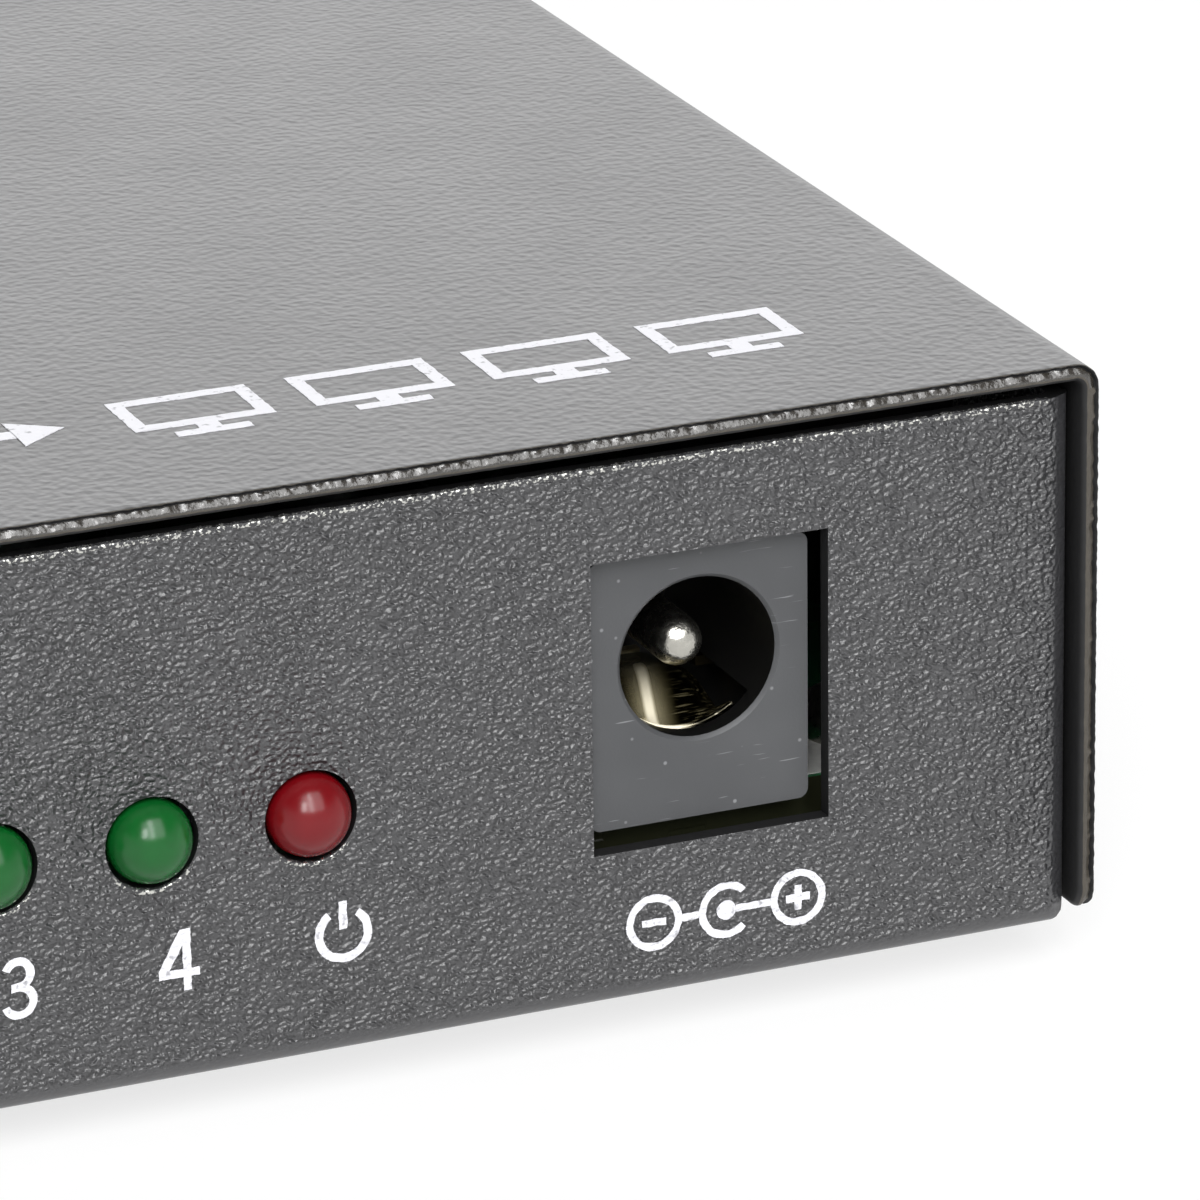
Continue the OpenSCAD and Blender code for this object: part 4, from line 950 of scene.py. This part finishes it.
stations = round(outline_len / station_step)
shape = bmesh.new()
rings = []
for n in range(stations + 1):
    s = outline_len * n / stations
    at, out = on_cover(s)
    above = min(s, outline_len - s)
    drawn_in = skirt_corner - math.sqrt(skirt_corner**2 - max(0, skirt_corner - above) ** 2)
    thick = math.sqrt(1 - max(0, 1 - 2 * above / sheet) ** 2)
    ring = []
    for front in (True, False):
        wave = crease_wave * noise.noise((s / crease_len, 0, 3 if front else 60))
        for inset, depth, lumpy in edge_section if front else edge_section[::-1]:
            inset = max(0, inset * MM - lumpy * swollen(s, depth * MM, front)) + drawn_in
            y = cover_low.y + inset if front else cover_high.y - inset
            depth = depth * MM + lumpy * wave * max(0, 0.45 - depth)
            depth = sheet / 2 + (depth - sheet / 2) * thick
            ring.append(shape.verts.new(at - out * depth + Vector((0, y, 0))))
    rings.append(ring)
count = len(edge_section)
# Finishes by place in the section: 0 is the coat, 1 the bead, 2 thin paint and 3 the nearly black painted
# shade in the crease under the burr, on the underside and on the inside
groove, bead, underside = (3, 4, 5, 6), (7, 8, 9, 10, 11), count - 5
for n, (a, b) in enumerate(zip(rings, rings[1:])):
    s = outline_len * n / stations
    on_top = upright_len < s < outline_len - upright_len
    for k in range(2 * count):
        j = (k + 1) % (2 * count)
        face = shape.faces.new((a[k], b[k], b[j], a[j]))
        behind = min(k, 2 * count - 2 - k) % (2 * count)
        # Painted shade: the crease, the underside and the inside get the nearly black finish
        dark = behind in groove or underside <= behind < count
        painted = 1 if on_top and behind in bead else 2
        face.material_index = 3 if dark else painted if 2 <= behind < count else 0
bmesh.ops.remove_doubles(shape, verts=rings[0] + rings[-1], dist=0.0005 * MM)
bmesh.ops.recalc_face_normals(shape, faces=shape.faces)
cover = piece_from(shape, "cover")
screw_low, screw_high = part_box("cover_screws")
head_r, hole_r = 2.7 * MM, 1.7 * MM
screw_y = screw_high.y - head_r
screw_z = (screw_low.z + screw_high.z) / 2
shape = bmesh.new()
for y in (-screw_y, screw_y):
    drill = Matrix.Translation((0, y, screw_z)) @ Matrix.Rotation(math.pi / 2, 4, "Y")
    bmesh.ops.create_cone(
        shape,
        cap_ends=True,
        segments=32,
        radius1=hole_r,
        radius2=hole_r,
        depth=4 * cover_high.x,
        matrix=drill,
    )
drills = piece_from(shape, "drills")
holes = cover.modifiers.new("screw_holes", "BOOLEAN")
holes.object = drills
holes.operation = "DIFFERENCE"
cover.data = plain_mesh(cover, "cover")
cover.modifiers.clear()
bpy.data.objects.remove(drills)
cover.data.shade_smooth()
cover.data.set_sharp_from_angle(angle=math.radians(50))
fit(cover, [coat, bead_paint, thin_paint, shade_black], ["top_cover"])

# Cover screws
# Four pan-head machine screws with a cross recess, black oxide, driven through the cover's sides into the
# tapped collars of the ears.
# Black oxide: a thin conversion coat, dark and a little oily, rubbed to steel on the recess.
oxide = grained("black_oxide", "#343436", "#1f1f20", 0.2 * MM, (0.3, 0.45), 0.7, 0.006 * MM)
fit(rounded_copy("cover_screws", "pan_head_screws", 0.08 * MM), [oxide], ["cover_screws"])

# Printed marks
# White ink pressed on by a soft pad: numbers under the lamps, the sign for power, the polarity of the jack,
# and on the top a picture of one screen that feeds four. The coat's pebbles break up the ink's outlines.
ink = bpy.data.materials.new("pad_print_ink")
ink.use_nodes = True
tree = ink.node_tree
shader = tree.nodes["Principled BSDF"]
coords = add(tree, "ShaderNodeTexCoord").outputs
thin = add(tree, "ShaderNodeTexNoise", {"Vector": coords["Object"], "Scale": 1 / (0.3 * MM), "Detail": 2.0})
worn = add(tree, "ShaderNodeMapRange", {"Value": thin.outputs["Fac"], "From Min": 0.62, "From Max": 0.75})
tone = add(
    tree,
    "ShaderNodeMix",
    {"Factor": worn.outputs[0], 6: linear("#d9d9de"), 7: linear("#9a9a9f")},
    data_type="RGBA",
)
tree.links.new(tone.outputs[2], shader.inputs["Base Color"])
tree.links.new(wrinkle(tree, coords, 0.12 * MM), shader.inputs["Normal"])
shader.inputs["Roughness"].default_value = 0.5


def box_loop(x0, y0, x1, y1):
    """Outline of a rectangle between two corners."""
    return [(x0, y0), (x1, y0), (x1, y1), (x0, y1)]


def band_loop(centre, radius, stroke, start, end):
    """Outline of a bent stroke along an arc, between two angles in degrees."""
    outer = arc(centre, radius, start, end, 36)
    return outer + arc(centre, radius - stroke, end, start, 36)


def flat_mesh(loops):
    """A flat mesh of filled outlines, where an outline inside another is a hole."""
    curve = bpy.data.curves.new("mark", "CURVE")
    curve.dimensions = "2D"
    curve.fill_mode = "BOTH"
    for loop in loops:
        line = curve.splines.new("POLY")
        line.points.add(len(loop) - 1)
        line.points.foreach_set("co", [v for x, y in loop for v in (x, y, 0, 1)])
        line.use_cyclic_u = True
    made = bpy.data.objects.new("mark", curve)
    scene.collection.objects.link(made)
    mesh = plain_mesh(made, "mark")
    bpy.data.objects.remove(made)
    return mesh


# The ink in millimetres: its thickness, how far and over what length its edge strays, and the steps along it
ink_t, ragged, ragged_len, edge_len = 0.02, 0.035, 0.25, 0.12
# This noise starts from the clock unless it has a seed, and then the edges would differ in each run
noise.seed_set(4)


def print_marks(name, meshes, to_face):
    """Ink on a face: marks in millimetres, ragged at the edges, given a thickness and moved to the face."""
    shape = bmesh.new()
    for mesh in meshes:
        shape.from_mesh(mesh)
    bmesh.ops.remove_doubles(shape, verts=shape.verts, dist=0.001)
    rim = [e for e in shape.edges if e.is_boundary]
    for edge in rim:
        cuts = int(edge.calc_length() / edge_len)
        if cuts:
            bmesh.ops.subdivide_edges(shape, edges=[edge], cuts=cuts)
    for vert in shape.verts:
        if vert.is_boundary:
            stray = noise.noise_vector(vert.co / ragged_len)
            vert.co += ragged * Vector((stray.x, stray.y, 0))
    raised = bmesh.ops.extrude_face_region(shape, geom=shape.faces[:])["geom"]
    tops = [v for v in raised if isinstance(v, bmesh.types.BMVert)]
    bmesh.ops.translate(shape, verts=tops, vec=(0, 0, ink_t))
    bmesh.ops.recalc_face_normals(shape, faces=shape.faces)
    bmesh.ops.transform(shape, matrix=to_face @ Matrix.Scale(MM, 4), verts=shape.verts)
    piece = piece_from(shape, name)
    piece.data.materials.append(ink)
    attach(piece, "splitter")


# Front panel, in millimetres along it and up from the floor
number_h, stroke, number_foot, number_aside = 2.45, 0.32, 5.6, 0.9
bowl, small_bowl, bowl_in = 0.71, 0.65, 0.71 - stroke
upper, lower, waist = (bowl, number_h - bowl), (bowl, bowl), (bowl, number_h - small_bowl)
bar, bar_end, stem, slant = 0.54 + stroke, 1.62, (0.96, 0.96 + stroke), 0.42
tip = stem[1] - slant
numbers = (
    [
        [(0.5, 0), (0.5 + stroke, 0), (0.5 + stroke, number_h)]
        + [(0.56, number_h), (0, 1.9), (0, 1.52), (0.5, 1.85)]
    ],
    [
        arc(upper, bowl, 175, -38, 24)
        + [(0.45, stroke), (2 * bowl, stroke), (2 * bowl, 0), (0, 0), (0, stroke)]
        + arc(upper, bowl_in, -38, 175, 24)
    ],
    [
        arc(waist, small_bowl, 160, -51, 24)
        + arc(lower, bowl, 55, -160, 24)
        + arc(lower, bowl_in, -160, 85, 24)
        + [(0.42, bowl + bowl_in), (0.42, bowl + bowl_in + stroke)]
        + arc(waist, small_bowl - stroke, -85, 160, 24)
    ],
    [
        [(stem[0], 0), (stem[1], 0), (stem[1], bar - stroke), (bar_end, bar - stroke)]
        + [(bar_end, bar), (stem[1], bar), (stem[1], number_h), (tip, number_h)]
        + [(0, bar), (0, bar - stroke), (stem[0], bar - stroke)],
        [(slant, bar), (stem[0], bar), (stem[0], bar + (stem[0] - slant) / tip * (number_h - bar))],
    ],
)
front_marks = []
for n, loops in enumerate(numbers, 1):
    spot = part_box(f"output_led_{n}")
    left = (spot[0].x + spot[1].x) / 2 / MM + number_aside - max(x for x, y in loops[0]) / 2
    front_marks.append(flat_mesh([[(left + x, number_foot + y) for x, y in loop] for loop in loops]))
power_at, power_r, power_stroke, power_arc = (29.0, 6.75), 1.15, 0.34, (125, 415)
half = power_stroke / 2
bar_low, bar_high = power_at[1] + 0.2, power_at[1] + power_r + 0.15
front_marks.append(
    flat_mesh(
        [
            band_loop(power_at, power_r, power_stroke, *power_arc),
            box_loop(power_at[0] - half, bar_low, power_at[0] + half, bar_high),
        ]
    )
)
jack_mark_x, jack_mark_z, ring_r, ring_gap, ring_stroke = pin_x / MM + 0.7, 4.98, 1.15, 3.0, 0.3
minus_x, plus_x = jack_mark_x - ring_gap, jack_mark_x + ring_gap
arm, dot_r, half, ring_radii = 0.5, 0.4, ring_stroke / 2, (ring_r, ring_r - ring_stroke)
under, over = jack_mark_z - half, jack_mark_z + half
front_marks.append(
    flat_mesh(
        [arc((x, jack_mark_z), r, 0, 355, 71) for x in (minus_x, plus_x) for r in ring_radii]
        + [
            box_loop(minus_x - arm, under, minus_x + arm, over),
            box_loop(plus_x - arm, under, plus_x + arm, over),
            band_loop((jack_mark_x, jack_mark_z), ring_r, ring_stroke, 45, 315),
            arc((jack_mark_x, jack_mark_z), dot_r, 0, 350, 35),
            box_loop(minus_x + ring_r, under, jack_mark_x - ring_r, over),
            box_loop(jack_mark_x + dot_r, under, plus_x - ring_r, over),
        ]
    )
)
front_marks.append(
    flat_mesh(
        [
            box_loop(plus_x - half, over, plus_x + half, jack_mark_z + arm),
            box_loop(plus_x - half, jack_mark_z - arm, plus_x + half, under),
        ]
    )
)
on_panel = Matrix.Translation((0, chassis_low.y, 0)) @ Matrix.Rotation(math.pi / 2, 4, "X")
print_marks("panel_marks", front_marks, on_panel)

# Top, in millimetres from the case's middle
screen_w, screen_h, frame_w, pitch = 5.6, 3.5, 0.6, 7.2
neck, foot_w, foot_up = (0.9, 0.55), 3.0, 0.55
marks_y, right_end = -25.8, 51.2


def screen_loops(x):
    """Outlines of a screen on its foot, with its right-hand side at x."""
    bottom = marks_y + foot_up + neck[1]
    middle = x - screen_w / 2
    return [
        box_loop(x - screen_w, bottom, x, bottom + screen_h),
        box_loop(x - screen_w + frame_w, bottom + frame_w, x - frame_w, bottom + screen_h - frame_w),
        box_loop(middle - neck[0] / 2, marks_y + foot_up, middle + neck[0] / 2, bottom),
        box_loop(middle - foot_w / 2, marks_y, middle + foot_w / 2, marks_y + foot_up),
    ]


arrow_len, arrow_w, arrow_head, head_half = 6.4, 0.8, 2.0, 1.4
arrow_x, arrow_y, source_gap = right_end - 4 * pitch - 0.6, marks_y + 2.8, 1.6
loops = [loop for n in range(4) for loop in screen_loops(right_end - n * pitch)]
loops += screen_loops(arrow_x - arrow_len - source_gap)
loops += [
    box_loop(arrow_x - arrow_len, arrow_y - arrow_w / 2, arrow_x - arrow_head, arrow_y + arrow_w / 2),
    [
        (arrow_x - arrow_head, arrow_y - head_half),
        (arrow_x, arrow_y),
        (arrow_x - arrow_head, arrow_y + head_half),
    ],
]
print_marks("cover_marks", [flat_mesh(loops)], Matrix.Translation((0, 0, cover_high.z)))
